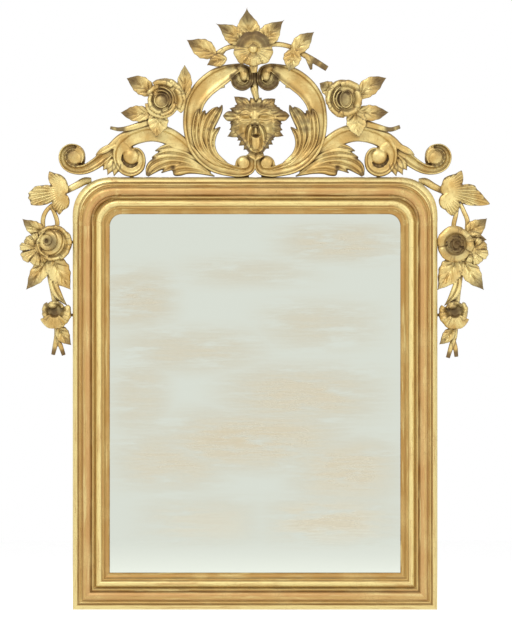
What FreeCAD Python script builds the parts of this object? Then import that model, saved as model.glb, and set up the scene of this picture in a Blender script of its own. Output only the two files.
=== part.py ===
"""Carved and gilded wall mirror: a moulded frame with rounded upper corners, a silvered plate held by
backboards, a pierced crest of scrolls, roses and a grotesque mask, and a flower drop on each side.

The frame of the part is +X to the viewer's right, +Z up and the front towards -Y. The wall is the plane
y = 0. The origin is the middle of the top rail's back face, where the mirror bears on the wall.
Heights are distances in front of the wall, so a height h lies at y = -h.
"""
import FreeCAD, Part
import math
import os
import Sketcher
from FreeCAD import Placement, Rotation, Vector

# Driving dimensions in millimetres. Profile widths run from the sight edge outwards.
SIZES = {
    "frame_width": 730,
    "frame_height": 866,
    "sight_corner_radius": 24,
    "outer_corner_radius": 74,
    "lip_width": 3,
    "cove_width": 9,
    "bead_fillet": 3,
    "bead_width": 13,
    "hollow_width": 4.5,
    "step_width": 3.5,
    "torus_width": 19,
    "quirk_width": 2,
    "astragal_width": 4,
    "groove_width": 3,
    "band_width": 10,
    "rebate_width": 12,
    # profile heights above the back, and how far each curve bulges from its chord
    "rebate_depth": 22,
    "lip_height": 26,
    "cove_height": 33,
    "cove_bulge": 2,
    "bead_bulge": 5.5,
    "hollow_height": 31,
    "hollow_bulge": 1.2,
    "step_height": 38,
    "torus_height": 36,
    "torus_bulge": 8.5,
    "astragal_bulge": 1.8,
    "groove_height": 33,
    "band_height": 37,
    "band_bulge": 2,
    "band_edge_height": 27,
    # joints of the frame
    "dowel_diameter": 8,
    "dowel_length": 40,
    "dowel_height": 14,
    "dowel_spacing": 24,
    "key_leg": 42,
    "key_thickness": 4,
    "key_height": 10,
    "fit_clearance": 0.05,
    "overrun": 5,
    # mirror plate and what holds it in the rebate
    "glass_thickness": 4,
    "glass_gap": 4,
    "block_length": 40,
    "board_thickness": 10,
    "board_gap": 1,
    "brad_diameter": 2,
    "brad_length": 24,
    "brad_grip": 10,
    # hangers let into the backs of the stiles
    "hanger_drop": 215,
    "recess_margin": 7,
    "recess_play": 2.5,
    "plate_width": 18,
    "plate_length": 48,
    "plate_thickness": 2,
    "ring_wire": 4,
    "ring_corner_radius": 5,
    "ring_bar": 22,
    "ring_side": 8,
    "ring_play": 0.4,
    "hanger_screw_diameter": 4,
    "hanger_screw_length": 18,
    "hanger_screw_spacing": 22,
    "hanger_screw_edge": 9,
    # crest and its battens
    "volute_inset": 19.8,
    "batten_width": 20,
    "batten_thickness": 12,
    "batten_foot": 10,
    "batten_screw_diameter": 4,
    "batten_screw_length": 24,
    "batten_screw_head": 3,
    "scroll_depth": 24,
    "crest_dowel_length": 36,
    "crest_dowel_height": 20,
    "acanthus_depth": 24,
    "stem_thickness": 7,
    "leaf_thickness": 8,
    "blossom_depth": 26,
    "layer_play": 0.2,
    "mask_back": 14,
    "mask_plate_depth": 10,
    "mask_face_depth": 24,
    "mask_stem_depth": 14,
    # flower drops at the sides
    "drop_height": 376,
    "drop_back": 3,
    "peg_diameter": 6,
    "peg_length": 40,
}

# Places read from the photograph, in its pixels.
CENTRE_PX = 255.1
FRAME_TOP_PX = 177.0
FRAME_LEFT_PX = 72.4
FRAME_RIGHT_PX = 437.7
VOLUTE_PX = 131.5
DROP_HEIGHT_PX = 188.0
BATTEN_PX = 244.0
BATTEN_TOP_PX = 158.0
BATTEN_SCREWS_PX = (162.0, 170.0)
CREST_DOWELS_PX = (VOLUTE_PX, 237.0)

doc = FreeCAD.newDocument("WallMirror")
sheet = doc.addObject("Spreadsheet::Sheet", "Sizes")
for row, (alias, number) in enumerate(SIZES.items(), start=1):
    sheet.set(f"A{row}", alias)
    sheet.set(f"B{row}", str(number))
    sheet.setAlias(f"B{row}", alias)
doc.recompute()


class Length:
    """A sum of named sizes: its value in millimetres, and the expression that binds it to the sheet."""

    def __init__(self, terms):
        self.terms = terms

    def __add__(self, other):
        terms = dict(self.terms)
        for alias, factor in other.terms.items():
            terms[alias] = terms.get(alias, 0) + factor
        return Length(terms)

    def __mul__(self, share):
        return Length({alias: factor * share for alias, factor in self.terms.items()})

    def __neg__(self):
        return self * -1

    def __sub__(self, other):
        return self + -other

    @property
    def value(self):
        return sum(factor * float(sheet.get(alias)) for alias, factor in self.terms.items())

    @property
    def text(self):
        return " + ".join(f"({factor}) * Sizes.{alias}" for alias, factor in self.terms.items()) or "0"


def size(alias):
    return Length({alias: 1})


NOTHING = Length({})
PROFILE_WIDTHS = ("lip_width", "cove_width", "bead_fillet", "bead_width", "hollow_width", "step_width",
                  "torus_width", "quirk_width", "astragal_width", "groove_width", "band_width")


def width_to(count):
    """Distance from the sight edge across the first elements of the moulding."""
    total = NOTHING
    for alias in PROFILE_WIDTHS[:count]:
        total = total + size(alias)
    return total


MOULDING_WIDTH = width_to(len(PROFILE_WIDTHS))
FRAME_TOP = (MOULDING_WIDTH - size("rebate_width")) * 0.5
FRAME_BOTTOM = FRAME_TOP - size("frame_height")
HALF_WIDTH = size("frame_width") * 0.5
CORNER_SEAM = MOULDING_WIDTH + size("sight_corner_radius")
SIGHT_HALF_WIDTH = HALF_WIDTH - MOULDING_WIDTH
SIGHT_TOP = FRAME_TOP - MOULDING_WIDTH
SIGHT_BOTTOM = FRAME_BOTTOM + MOULDING_WIDTH
GLASS_BACK = size("rebate_depth") - size("glass_thickness")
BOARD_BACK = GLASS_BACK - size("board_thickness")

SCROLL_FRONT = size("batten_thickness") + size("scroll_depth")
CREST_LEAF = SCROLL_FRONT + size("stem_thickness") + size("layer_play")
CREST_BLOSSOM = CREST_LEAF + size("leaf_thickness") + size("layer_play")
DROP_LEAF = size("drop_back") + size("stem_thickness") + size("layer_play")
DROP_BLOSSOM = DROP_LEAF + size("leaf_thickness") + size("layer_play")

UP = Vector(0, 0, 1)
RIGHT = Vector(1, 0, 0)
FRONT = Vector(0, -1, 0)
SIDES = {"left": -1, "right": 1}

# Moulding profile: elements passed, height above the back, and the bulge of the curve to the next vertex
# with +1 for a round and -1 for a hollow.
PROFILE = (
    (0, "rebate_depth", None),
    (0, "lip_height", None),
    (1, "lip_height", ("cove_bulge", -1)),
    (2, "cove_height", None),
    (3, "cove_height", ("bead_bulge", 1)),
    (4, "cove_height", None),
    (4, "hollow_height", ("hollow_bulge", -1)),
    (5, "step_height", None),
    (6, "step_height", None),
    (6, "torus_height", ("torus_bulge", 1)),
    (7, "torus_height", None),
    (8, "torus_height", ("astragal_bulge", 1)),
    (9, "torus_height", None),
    (9, "groove_height", None),
    (10, "groove_height", None),
    (10, "band_height", ("band_bulge", 1)),
    (11, "band_edge_height", None),
)


def profile_vertices():
    """The closed profile as (distance from the sight edge, height, curve to the next vertex)."""
    vertices = [(width_to(count), size(height), curve) for count, height, curve in PROFILE]
    vertices.append((MOULDING_WIDTH, NOTHING, None))
    vertices.append((size("rebate_width"), NOTHING, None))
    vertices.append((size("rebate_width"), size("rebate_depth"), None))
    return vertices


def bulge_point(start, end, bulge, sense):
    """Middle point of an arc that bulges from the chord, to its front for a round."""
    chord = end - start
    normal = Vector(-chord.y, chord.x, 0).normalize()
    return (start + end) * 0.5 + normal * (bulge * sense)


def bulge_radius_text(start, end, bulge):
    """Expression for the radius of an arc from its chord and its bulge."""
    run = f"(({end[0].text}) - ({start[0].text}))"
    rise = f"(({end[1].text}) - ({start[1].text}))"
    return f"(({run}^2 + {rise}^2) / 4 + Sizes.{bulge}^2) / (2 * Sizes.{bulge})"


def plane_of(body, role):
    return next(plane for plane in body.Origin.OriginFeatures if plane.Role == role)


def new_sketch(body, name, role):
    sketch = body.newObject("Sketcher::SketchObject", name)
    sketch.AttachmentSupport = [(plane_of(body, role), "")]
    sketch.MapMode = "FlatFace"
    return sketch


def bind_vertex(sketch, geometry, position, across, upwards):
    """Fixes a sketch point by two lengths from the sketch's origin."""
    for kind, axis, length in (("DistanceX", -2, across), ("DistanceY", -1, upwards)):
        if not length.terms:
            sketch.addConstraint(Sketcher.Constraint("PointOnObject", geometry, position, axis))
            continue
        constraint = Sketcher.Constraint(kind, -1, 1, geometry, position, length.value)
        index = sketch.addConstraint(constraint)
        sketch.setExpression(f"Constraints[{index}]", length.text)


def draw_outline(sketch, vertices):
    """Draws a closed outline of lines and arcs, with every vertex and radius bound to the sheet."""
    ends = []
    for here, following in zip(vertices, vertices[1:] + vertices[:1]):
        start = Vector(here[0].value, here[1].value, 0)
        end = Vector(following[0].value, following[1].value, 0)
        if here[2] is None:
            geometry = sketch.addGeometry(Part.LineSegment(start, end), False)
            ends.append((geometry, 1, 2))
            continue
        bulge, sense = here[2]
        middle = bulge_point(start, end, size(bulge).value, sense)
        geometry = sketch.addGeometry(Part.ArcOfCircle(start, middle, end), False)
        first, last = sketch.getPoint(geometry, 1), sketch.getPoint(geometry, 2)
        forwards = first.distanceToPoint(start) < last.distanceToPoint(start)
        ends.append((geometry, 1, 2) if forwards else (geometry, 2, 1))
    for (geometry, _, end), (next_geometry, start, _) in zip(ends, ends[1:] + ends[:1]):
        sketch.addConstraint(Sketcher.Constraint("Coincident", geometry, end, next_geometry, start))
    for (geometry, start, _), here in zip(ends, vertices):
        bind_vertex(sketch, geometry, start, here[0], here[1])
    for (geometry, _, _), here, following in zip(ends, vertices, vertices[1:] + vertices[:1]):
        if here[2] is not None:
            radius = sketch.Geometry[geometry].Radius
            index = sketch.addConstraint(Sketcher.Constraint("Radius", geometry, radius))
            sketch.setExpression(f"Constraints[{index}]", bulge_radius_text(here, following, here[2][0]))


def pad(body, name, role, vertices, length, reverse=False):
    sketch = new_sketch(body, f"{name}Sketch", role)
    draw_outline(sketch, vertices)
    feature = body.newObject("PartDesign::Pad", f"{name}Pad")
    feature.Profile = sketch
    feature.Reversed = reverse
    feature.setExpression("Length", length.text)
    return feature


def pocket(body, name, role, vertices, depth=None):
    """Cuts an outline on a base plane into the body, through all of it where no depth is given."""
    doc.recompute()
    before = body.Shape.Volume
    sketch = new_sketch(body, f"{name}Sketch", role)
    draw_outline(sketch, vertices)
    feature = body.newObject("PartDesign::Pocket", f"{name}Pocket")
    feature.Profile = sketch
    if depth is None:
        feature.Type = "ThroughAll"
    else:
        feature.setExpression("Length", depth.text)
    doc.recompute()
    if not body.Shape.Volume < before:
        raise RuntimeError(f"{name} cuts nothing")


def rectangle(low_across, high_across, low_upwards, high_upwards):
    return [(low_across, low_upwards, None), (high_across, low_upwards, None),
            (high_across, high_upwards, None), (low_across, high_upwards, None)]


def place(thing, across, depth, upwards, rotation=Rotation()):
    """Puts an object at bound coordinates, with the depth measured towards the wall's side (+Y)."""
    thing.Placement = Placement(Vector(across.value, depth.value, upwards.value), rotation)
    for axis, length in (("x", across), ("y", depth), ("z", upwards)):
        thing.setExpression(f"Placement.Base.{axis}", length.text)
    return thing


def facing(outward):
    """Turns a member so that its profile runs outward, its heights to the front."""
    return Rotation(outward, FRONT, outward.cross(FRONT), "XYZ")


nodes = {}


def keep(label, thing):
    """Names a finished sub-part."""
    thing.Label = label
    nodes[label] = thing
    return thing


def solid_node(label, shape):
    """A sub-part whose shape is worked out here from the sheet's sizes."""
    feature = doc.addObject("Part::Feature", label)
    feature.Shape = shape
    return keep(label, feature)


def group_node(label, things):
    """Identical pieces that share one sub-part."""
    group = doc.addObject("Part::Compound", label)
    group.Links = things
    return keep(label, group)


def cylinder(name, across, depth, upwards, direction, diameter, length, play=NOTHING):
    rod = doc.addObject("Part::Cylinder", name)
    rod.setExpression("Radius", (diameter * 0.5 + play).text)
    rod.setExpression("Height", length.text)
    return place(rod, across, depth, upwards, Rotation(UP, direction))


class Rod:
    """A round fastener that stands in drilled holes: where it starts, which way it runs and its size."""

    def __init__(self, name, across, depth, upwards, direction, diameter, length):
        self.name = name
        self.where = (across, depth, upwards, direction, diameter, length)

    def piece(self):
        return cylinder(self.name, *self.where)

    def hole(self):
        return cylinder(f"{self.name}Hole", *self.where, play=size("fit_clearance"))


def cut_from(label, base, tools):
    """The base with its holes and slots cut out."""
    tool = doc.addObject("Part::Compound", f"{label}Tools")
    tool.Links = tools
    cut = doc.addObject("Part::Cut", label)
    cut.Base = base
    cut.Tool = tool
    return keep(label, cut)


# Fasteners of the frame: corner dowels, brads behind the boards and dowels under the crest.

def corner_dowels():
    """Two dowels across each seam of the rounded corners, by corner block and by neighbour."""
    found = {}
    first = width_to(4)
    for side, sign in SIDES.items():
        for step in range(2):
            offset = first + size("dowel_spacing") * step
            seam_x = (HALF_WIDTH - CORNER_SEAM) * sign
            seam_z = FRAME_TOP - CORNER_SEAM
            depth = -size("dowel_height")
            upright = Rod(f"StileDowel{side}{step}", (SIGHT_HALF_WIDTH + offset) * sign, depth,
                          seam_z - size("dowel_length") * 0.5, UP, size("dowel_diameter"),
                          size("dowel_length"))
            level = Rod(f"RailDowel{side}{step}", seam_x - size("dowel_length") * 0.5, depth,
                        SIGHT_TOP + offset, RIGHT, size("dowel_diameter"), size("dowel_length"))
            found.setdefault(f"{side}_stile", []).append(upright)
            found.setdefault("top_rail", []).append(level)
            found.setdefault(f"{side}_corner_block", []).extend([upright, level])
    return found


PLANK_NAMES = ("lower", "middle", "upper")
BOARD_HALF_WIDTH = SIGHT_HALF_WIDTH + size("rebate_width") - size("board_gap")
BOARD_LOW = SIGHT_BOTTOM - size("rebate_width") + size("board_gap")
BOARD_HIGH = SIGHT_TOP + size("rebate_width") - size("board_gap")
PLANK_PITCH = (BOARD_HIGH - BOARD_LOW + size("board_gap")) * (1 / len(PLANK_NAMES))


def backboard_brads():
    """One brad in each stile behind every plank, and two in each rail."""
    found = {}
    reach = size("rebate_width") - size("brad_grip")
    depth = -(BOARD_BACK - size("brad_diameter") * 0.5)
    brad = (size("brad_diameter"), size("brad_length"))
    for side, sign in SIDES.items():
        for step, plank in enumerate(PLANK_NAMES):
            middle = BOARD_LOW + PLANK_PITCH * (step + 0.5)
            found.setdefault(f"{side}_stile", []).append(
                Rod(f"Brad{side}{plank}", (SIGHT_HALF_WIDTH + reach) * sign, depth, middle,
                    RIGHT * sign, *brad))
        across = SIGHT_HALF_WIDTH * (0.5 * sign)
        found.setdefault("top_rail", []).append(
            Rod(f"BradTop{side}", across, depth, SIGHT_TOP + reach, UP, *brad))
        found.setdefault("bottom_rail", []).append(
            Rod(f"BradBottom{side}", across, depth, SIGHT_BOTTOM - reach, UP * -1, *brad))
    return found


# The crest is as wide as the top rail lets it be: its inner volutes stand just inside the corner seams.
CREST_REACH = HALF_WIDTH - CORNER_SEAM - size("volute_inset")
CREST_REACH_PX = CENTRE_PX - VOLUTE_PX
CREST_SCALE = CREST_REACH.value / CREST_REACH_PX
DROP_SCALE = size("drop_height").value / DROP_HEIGHT_PX


def crest_length(pixels):
    """A bound length for a distance read in pixels on the crest."""
    return CREST_REACH * (pixels / CREST_REACH_PX)


def crest_dowels():
    """Upright dowels from the top rail into the foot of each scroll, by scroll and by rail."""
    found = {}
    for side, sign in SIDES.items():
        for scroll, pixel in zip(("side_scroll", "centre_scroll"), CREST_DOWELS_PX):
            rod = Rod(f"CrestDowel{scroll}{side}", crest_length(CENTRE_PX - pixel) * sign,
                      -size("crest_dowel_height"), FRAME_TOP - size("crest_dowel_length") * 0.5, UP,
                      size("dowel_diameter"), size("crest_dowel_length"))
            found.setdefault("top_rail", []).append(rod)
            found[f"{scroll}_{side}"] = [rod]
    return found


def batten_screws():
    """Screws from the wall side through each batten, two into the top rail and two into the scroll."""
    found = {}
    rail_spots = (FRAME_TOP * -0.3, FRAME_TOP * 0.4)
    scroll_spots = tuple(FRAME_TOP + crest_length(FRAME_TOP_PX - pixel) for pixel in BATTEN_SCREWS_PX)
    for side, sign in SIDES.items():
        across = crest_length(CENTRE_PX - BATTEN_PX) * sign
        for target, spots in (("top_rail", rail_spots), (f"centre_scroll_{side}", scroll_spots)):
            for step, upwards in enumerate(spots):
                rod = Rod(f"BattenScrew{target}{side}{step}", across, NOTHING, upwards, FRONT,
                          size("batten_screw_diameter"), size("batten_screw_length"))
                found.setdefault(target, []).append(rod)
                found.setdefault(f"crest_batten_{side}", []).append(rod)
    return found


def hanger_screws():
    """Two screws through each hanger plate into its stile."""
    found = {}
    for side, sign in SIDES.items():
        for step in range(2):
            upwards = (-size("hanger_drop") - KNUCKLE_RADIUS - size("hanger_screw_edge")
                       - size("hanger_screw_spacing") * step)
            rod = Rod(f"HangerScrew{side}{step}", HANGER_ACROSS * sign, HANGER_FLOOR, upwards, FRONT,
                      size("hanger_screw_diameter"), size("hanger_screw_length"))
            found.setdefault(f"{side}_stile", []).append(rod)
            found.setdefault(f"hanger_plate_{side}", []).append(rod)
    return found


def drop_pegs():
    """Level pegs from each stile's edge into the rose and the lower flower of its drop."""
    found = {}
    for side, sign in SIDES.items():
        for blossom, pixel in zip(("drop_rose", "drop_flower"), PEG_ROWS_PX):
            rod = Rod(f"Peg{blossom}{side}", (HALF_WIDTH - size("peg_length") * 0.5) * sign,
                      -(DROP_BLOSSOM + size("blossom_depth") * PEG_HEIGHT_SHARE),
                      FRAME_TOP + size("drop_height") * ((FRAME_TOP_PX - pixel) / DROP_HEIGHT_PX),
                      RIGHT * sign, size("peg_diameter"), size("peg_length"))
            found.setdefault(f"{side}_stile", []).append(rod)
            found[f"{blossom}_{side}"] = [rod]
    return found


HANGER_ACROSS = SIGHT_HALF_WIDTH + (MOULDING_WIDTH + size("rebate_width")) * 0.5
KNUCKLE_RADIUS = size("ring_wire") * 0.5 + size("fit_clearance") + size("plate_thickness")
KNUCKLE_RISE = size("plate_thickness") + size("ring_play") + size("ring_wire") * 0.5
RECESS_DEPTH = KNUCKLE_RISE + KNUCKLE_RADIUS + size("recess_play")
RING_REACH = (size("ring_corner_radius") * 2 + size("ring_side") + size("ring_bar") * 0.5
              + size("ring_wire") * 0.5)
RECESS_WIDTH = size("ring_bar") + size("ring_corner_radius") * 2 + size("ring_wire") + size("recess_margin")
HANGER_FLOOR = -(RECESS_DEPTH - size("plate_thickness"))
PEG_ROWS_PX = (242.0, 315.0)
PEG_HEIGHT_SHARE = 0.2
ROD_SETS = (corner_dowels(), backboard_brads(), crest_dowels(), batten_screws(), hanger_screws(),
            drop_pegs())


def holes_in(label):
    """The drilled holes of every rod that enters a sub-part."""
    return [rod.hole() for rods in ROD_SETS for rod in rods.get(label, [])]


def rods_of(rods):
    """Each rod of a set once, as a piece."""
    unique = {rod.name: rod for group in rods.values() for rod in group}
    return [rod.piece() for rod in unique.values()]


# Frame members.

def mitre_at(end):
    """Outline of the wedge that a mitre takes off a member's far end, or off its near end."""
    spare = size("overrun")
    if end is None:
        return [(-spare, -spare, None), (MOULDING_WIDTH + spare, -spare, None),
                (-spare, MOULDING_WIDTH + spare, None)]
    return [(-spare, end + spare, None), (-spare, end - MOULDING_WIDTH - spare, None),
            (MOULDING_WIDTH + spare, end + spare, None)]


def member_body(name, length):
    body = doc.addObject("PartDesign::Body", name)
    pad(body, "Moulding", "XY_Plane", profile_vertices(), length)
    return body


def mitre_key(side, sign):
    """A thin triangular key let into the outer corner of a bottom mitre."""
    key = doc.addObject("Part::Wedge", f"MitreKey{side}")
    for low in ("Xmin", "Ymin", "Zmin", "X2min", "Z2min"):
        setattr(key, low, 0)
    key.setExpression("Xmax", size("key_leg").text)
    key.setExpression("Ymax", size("key_leg").text)
    key.setExpression("Zmax", size("key_thickness").text)
    key.X2max = 0
    key.setExpression("Z2max", size("key_thickness").text)
    turned = Rotation(RIGHT, UP, FRONT, "XYZ") if sign < 0 else Rotation(UP, RIGHT * -1, FRONT, "XYZ")
    return place(key, HALF_WIDTH * sign, -size("key_height"), FRAME_BOTTOM, turned)


def frame_members():
    keys = [mitre_key(side, sign) for side, sign in SIDES.items()]
    stile_length = size("frame_height") - CORNER_SEAM
    right = member_body("RightStileBody", stile_length)
    pocket(right, "Mitre", "XZ_Plane", mitre_at(stile_length))
    place(right, SIGHT_HALF_WIDTH, NOTHING, FRAME_TOP - CORNER_SEAM, facing(RIGHT))
    left = member_body("LeftStileBody", stile_length)
    pocket(left, "Mitre", "XZ_Plane", mitre_at(None))
    place(left, -SIGHT_HALF_WIDTH, NOTHING, FRAME_BOTTOM, facing(RIGHT * -1))
    recess_middle = (MOULDING_WIDTH + size("rebate_width")) * 0.5
    recess_edges = (recess_middle - RECESS_WIDTH * 0.5, recess_middle + RECESS_WIDTH * 0.5)
    from_seam = size("hanger_drop") + FRAME_TOP - CORNER_SEAM
    low = from_seam - RING_REACH - size("recess_margin")
    high = from_seam + size("plate_length") + size("recess_margin")
    pocket(right, "Recess", "XZ_Plane", rectangle(*recess_edges, low, high), RECESS_DEPTH)
    pocket(left, "Recess", "XZ_Plane", rectangle(*recess_edges, stile_length - high, stile_length - low),
           RECESS_DEPTH)
    bottom = member_body("BottomRailBody", size("frame_width"))
    pocket(bottom, "FarMitre", "XZ_Plane", mitre_at(size("frame_width")))
    pocket(bottom, "NearMitre", "XZ_Plane", mitre_at(None))
    place(bottom, HALF_WIDTH, NOTHING, SIGHT_BOTTOM, facing(UP * -1))
    top_length = size("frame_width") - CORNER_SEAM * 2
    top = member_body("TopRailBody", top_length)
    for sign in SIDES.values():
        middle = top_length * 0.5 + crest_length(CENTRE_PX - BATTEN_PX) * sign
        edges = (middle - size("batten_width") * 0.5, middle + size("batten_width") * 0.5)
        foot = size("rebate_width") + size("batten_foot")
        pocket(top, f"Notch{sign + 1}", "XZ_Plane",
               rectangle(foot, MOULDING_WIDTH + size("overrun"), *edges), size("batten_thickness"))
    place(top, -(HALF_WIDTH - CORNER_SEAM), NOTHING, SIGHT_TOP, facing(UP))
    cut_from("right_stile", right, holes_in("right_stile") + [keys[1]])
    cut_from("left_stile", left, holes_in("left_stile") + [keys[0]])
    cut_from("bottom_rail", bottom, holes_in("bottom_rail") + keys)
    cut_from("top_rail", top, holes_in("top_rail"))
    group_node("mitre_keys", [mitre_key(f"{side}Piece", sign) for side, sign in SIDES.items()])


CORNER_SECTIONS = 7


def corner_reach(across, turn):
    """How far a line of the moulding lies from the corner's centre, on a ray turned from level.

    Each line runs straight, then round an arc whose radius grows from the sight edge to the outer edge."""
    sight = size("sight_corner_radius").value
    growth = (size("outer_corner_radius").value - sight) / MOULDING_WIDTH.value
    straight = sight + across
    radius = sight + growth * across
    inset = straight - radius
    cosine, sine = math.cos(turn), math.sin(turn)
    if straight * sine <= inset * cosine:
        return straight / cosine
    if straight * cosine <= inset * sine:
        return straight / sine
    middle = inset * (cosine + sine)
    return middle + math.sqrt(middle ** 2 - 2 * inset ** 2 + radius ** 2)


def corner_section(centre, sign, turn):
    """The moulding's profile on a plane through the corner's centre."""
    outward = Vector(sign * math.cos(turn), 0, math.sin(turn))

    def at(across, height):
        return centre + outward * corner_reach(across, turn) + FRONT * height

    edges = []
    vertices = profile_vertices()
    for here, following in zip(vertices, vertices[1:] + vertices[:1]):
        start = Vector(here[0].value, here[1].value, 0)
        end = Vector(following[0].value, following[1].value, 0)
        if here[2] is None:
            edges.append(Part.LineSegment(at(start.x, start.y), at(end.x, end.y)).toShape())
        else:
            middle = bulge_point(start, end, size(here[2][0]).value, here[2][1])
            edges.append(Part.Arc(at(start.x, start.y), at(middle.x, middle.y), at(end.x, end.y)).toShape())
    return Part.Wire(edges)


def corner_blocks():
    for side, sign in SIDES.items():
        centre = Vector((HALF_WIDTH - CORNER_SEAM).value * sign, 0, (FRAME_TOP - CORNER_SEAM).value)
        turns = [math.pi / 2 * step / (CORNER_SECTIONS - 1) for step in range(CORNER_SECTIONS)]
        block = Part.makeLoft([corner_section(centre, sign, turn) for turn in turns], True, False)
        label = f"{side}_corner_block"
        feature = doc.addObject("Part::Feature", f"{label}_blank")
        feature.Shape = block
        cut_from(label, feature, holes_in(label))
    group_node("corner_dowels", rods_of(ROD_SETS[0]))


# Mirror plate, blocks that centre it, and backboards.

def plate_body(label, half_width, low, high, thickness, back, corner=None):
    """A flat sheet, with both upper corners rounded where a corner radius is given."""
    body = doc.addObject("PartDesign::Body", label)
    blank = pad(body, "Sheet", "XZ_Plane", rectangle(-half_width, half_width, low, high), thickness)
    place(body, NOTHING, -back, NOTHING)
    if corner is not None:
        doc.recompute()
        middle = (low + high).value / 2
        upright = [f"Edge{number}" for number, edge in enumerate(body.Shape.Edges, start=1)
                   if abs(edge.tangentAt(edge.FirstParameter).y) > 0.5 and edge.CenterOfMass.z > middle]
        rounding = body.newObject("PartDesign::Fillet", f"{label}Corners")
        rounding.Base = (blank, upright)
        rounding.setExpression("Radius", corner.text)
    return keep(label, body)


def mirror_and_boards():
    reach = size("rebate_width") - size("glass_gap")
    plate_body("mirror_plate", SIGHT_HALF_WIDTH + reach, SIGHT_BOTTOM - reach, SIGHT_TOP + reach,
               size("glass_thickness"), GLASS_BACK, size("sight_corner_radius"))
    for step, name in enumerate(PLANK_NAMES):
        low = BOARD_LOW + PLANK_PITCH * step
        high = low + PLANK_PITCH - size("board_gap")
        corner = size("sight_corner_radius") + size("rebate_width") if name == "upper" else None
        plate_body(f"backboard_{name}", BOARD_HALF_WIDTH, low, high, size("board_thickness"), BOARD_BACK,
                   corner)
    group_node("backboard_brads", rods_of(ROD_SETS[1]))
    group_node("glass_blocks", glass_blocks())


def block(name, width, depth, height, across, front, low):
    """A box from its left, front and lower corner."""
    box = doc.addObject("Part::Box", name)
    box.setExpression("Length", width.text)
    box.setExpression("Width", depth.text)
    box.setExpression("Height", height.text)
    return place(box, across, front, low)


def glass_blocks():
    """Small wooden blocks that fill the rebate beside the mirror plate."""
    blocks = []
    gap, long = size("glass_gap"), size("block_length")
    reach = size("rebate_width") - gap
    front = -size("rebate_depth")
    thick = size("glass_thickness")
    for side, sign in SIDES.items():
        left_edge = SIGHT_HALF_WIDTH + reach if sign > 0 else -SIGHT_HALF_WIDTH - size("rebate_width")
        for share in (0.25, 0.7):
            low = SIGHT_BOTTOM + (SIGHT_TOP - SIGHT_BOTTOM) * share
            blocks.append(block(f"SideBlock{side}{share}", gap, thick, long, left_edge, front, low))
        across = SIGHT_HALF_WIDTH * (0.6 * sign) - long * 0.5
        blocks.append(block(f"TopBlock{side}", long, thick, gap, across, front, SIGHT_TOP + reach))
        blocks.append(block(f"FootBlock{side}", long, thick, gap, across, front,
                            SIGHT_BOTTOM - size("rebate_width")))
    return blocks


# Hangers: a plate rolled round a ring's bar, let into the back of each stile.

KNUCKLE_DEPTH = -(RECESS_DEPTH - KNUCKLE_RISE)


def hanger_plate(side, sign):
    plate = block(f"Plate{side}", size("plate_width"), size("plate_thickness"), size("plate_length"),
                  HANGER_ACROSS * sign - size("plate_width") * 0.5, -RECESS_DEPTH,
                  -size("hanger_drop") - size("plate_length"))
    start = HANGER_ACROSS * sign - size("plate_width") * 0.5
    knuckle = cylinder(f"Knuckle{side}", start, KNUCKLE_DEPTH, -size("hanger_drop"), RIGHT,
                       KNUCKLE_RADIUS * 2, size("plate_width"))
    bore = cylinder(f"KnuckleBore{side}", start - size("overrun"), KNUCKLE_DEPTH,
                    -size("hanger_drop"), RIGHT,
                    size("ring_wire"), size("plate_width") + size("overrun") * 2, size("fit_clearance"))
    joined = doc.addObject("Part::Fuse", f"PlateAndKnuckle{side}")
    joined.Base = plate
    joined.Tool = knuckle
    cut_from(f"hanger_plate_{side}", joined, [bore] + holes_in(f"hanger_plate_{side}"))


def hanger_ring(side, sign):
    """A ring of round wire: a straight bar in the knuckle, two bent corners and a half-round bow."""
    bar = size("ring_bar").value / 2
    bend = size("ring_corner_radius").value
    straight = size("ring_side").value
    bow = bar + bend
    centre = Vector((HANGER_ACROSS * sign).value, KNUCKLE_DEPTH.value, -size("hanger_drop").value)

    def at(across, down):
        return centre + Vector(across, 0, -down)

    slant = math.sqrt(0.5)
    edges = [
        Part.LineSegment(at(-bar, 0), at(bar, 0)),
        Part.Arc(at(bar, 0), at(bar + bend * slant, bend * (1 - slant)), at(bow, bend)),
        Part.LineSegment(at(bow, bend), at(bow, bend + straight)),
        Part.Arc(at(bow, bend + straight), at(0, bend + straight + bow), at(-bow, bend + straight)),
        Part.LineSegment(at(-bow, bend + straight), at(-bow, bend)),
        Part.Arc(at(-bow, bend), at(-bar - bend * slant, bend * (1 - slant)), at(-bar, 0)),
    ]
    path = Part.Wire([edge.toShape() for edge in edges])
    section = Part.Wire(Part.Circle(at(-bar, 0), RIGHT, size("ring_wire").value / 2).toShape())
    solid_node(f"hanger_ring_{side}", path.makePipeShell([section], True, False))


def hangers():
    for side, sign in SIDES.items():
        hanger_plate(side, sign)
        hanger_ring(side, sign)
    group_node("hanger_screws", rods_of(ROD_SETS[4]))


def battens():
    """Upright battens behind the crest, housed flush in the back of the top rail."""
    foot = FRAME_TOP - MOULDING_WIDTH + size("rebate_width") + size("batten_foot")
    top = FRAME_TOP + crest_length(FRAME_TOP_PX - BATTEN_TOP_PX)
    for side, sign in SIDES.items():
        label = f"crest_batten_{side}"
        left_edge = crest_length(CENTRE_PX - BATTEN_PX) * sign - size("batten_width") * 0.5
        blank = block(f"{label}_blank", size("batten_width"), size("batten_thickness"), top - foot,
                      left_edge, -size("batten_thickness"), foot)
        cut_from(label, blank, holes_in(label))
    group_node("batten_screws", rods_of(ROD_SETS[3]))
    group_node("crest_dowels", rods_of(ROD_SETS[2]))


# Carving. A place on the photograph becomes a point at a height in front of the wall.

def crest_point(across_px, down_px, height):
    return Vector((across_px - CENTRE_PX) * CREST_SCALE, -height,
                  FRAME_TOP.value + (FRAME_TOP_PX - down_px) * CREST_SCALE)


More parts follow.
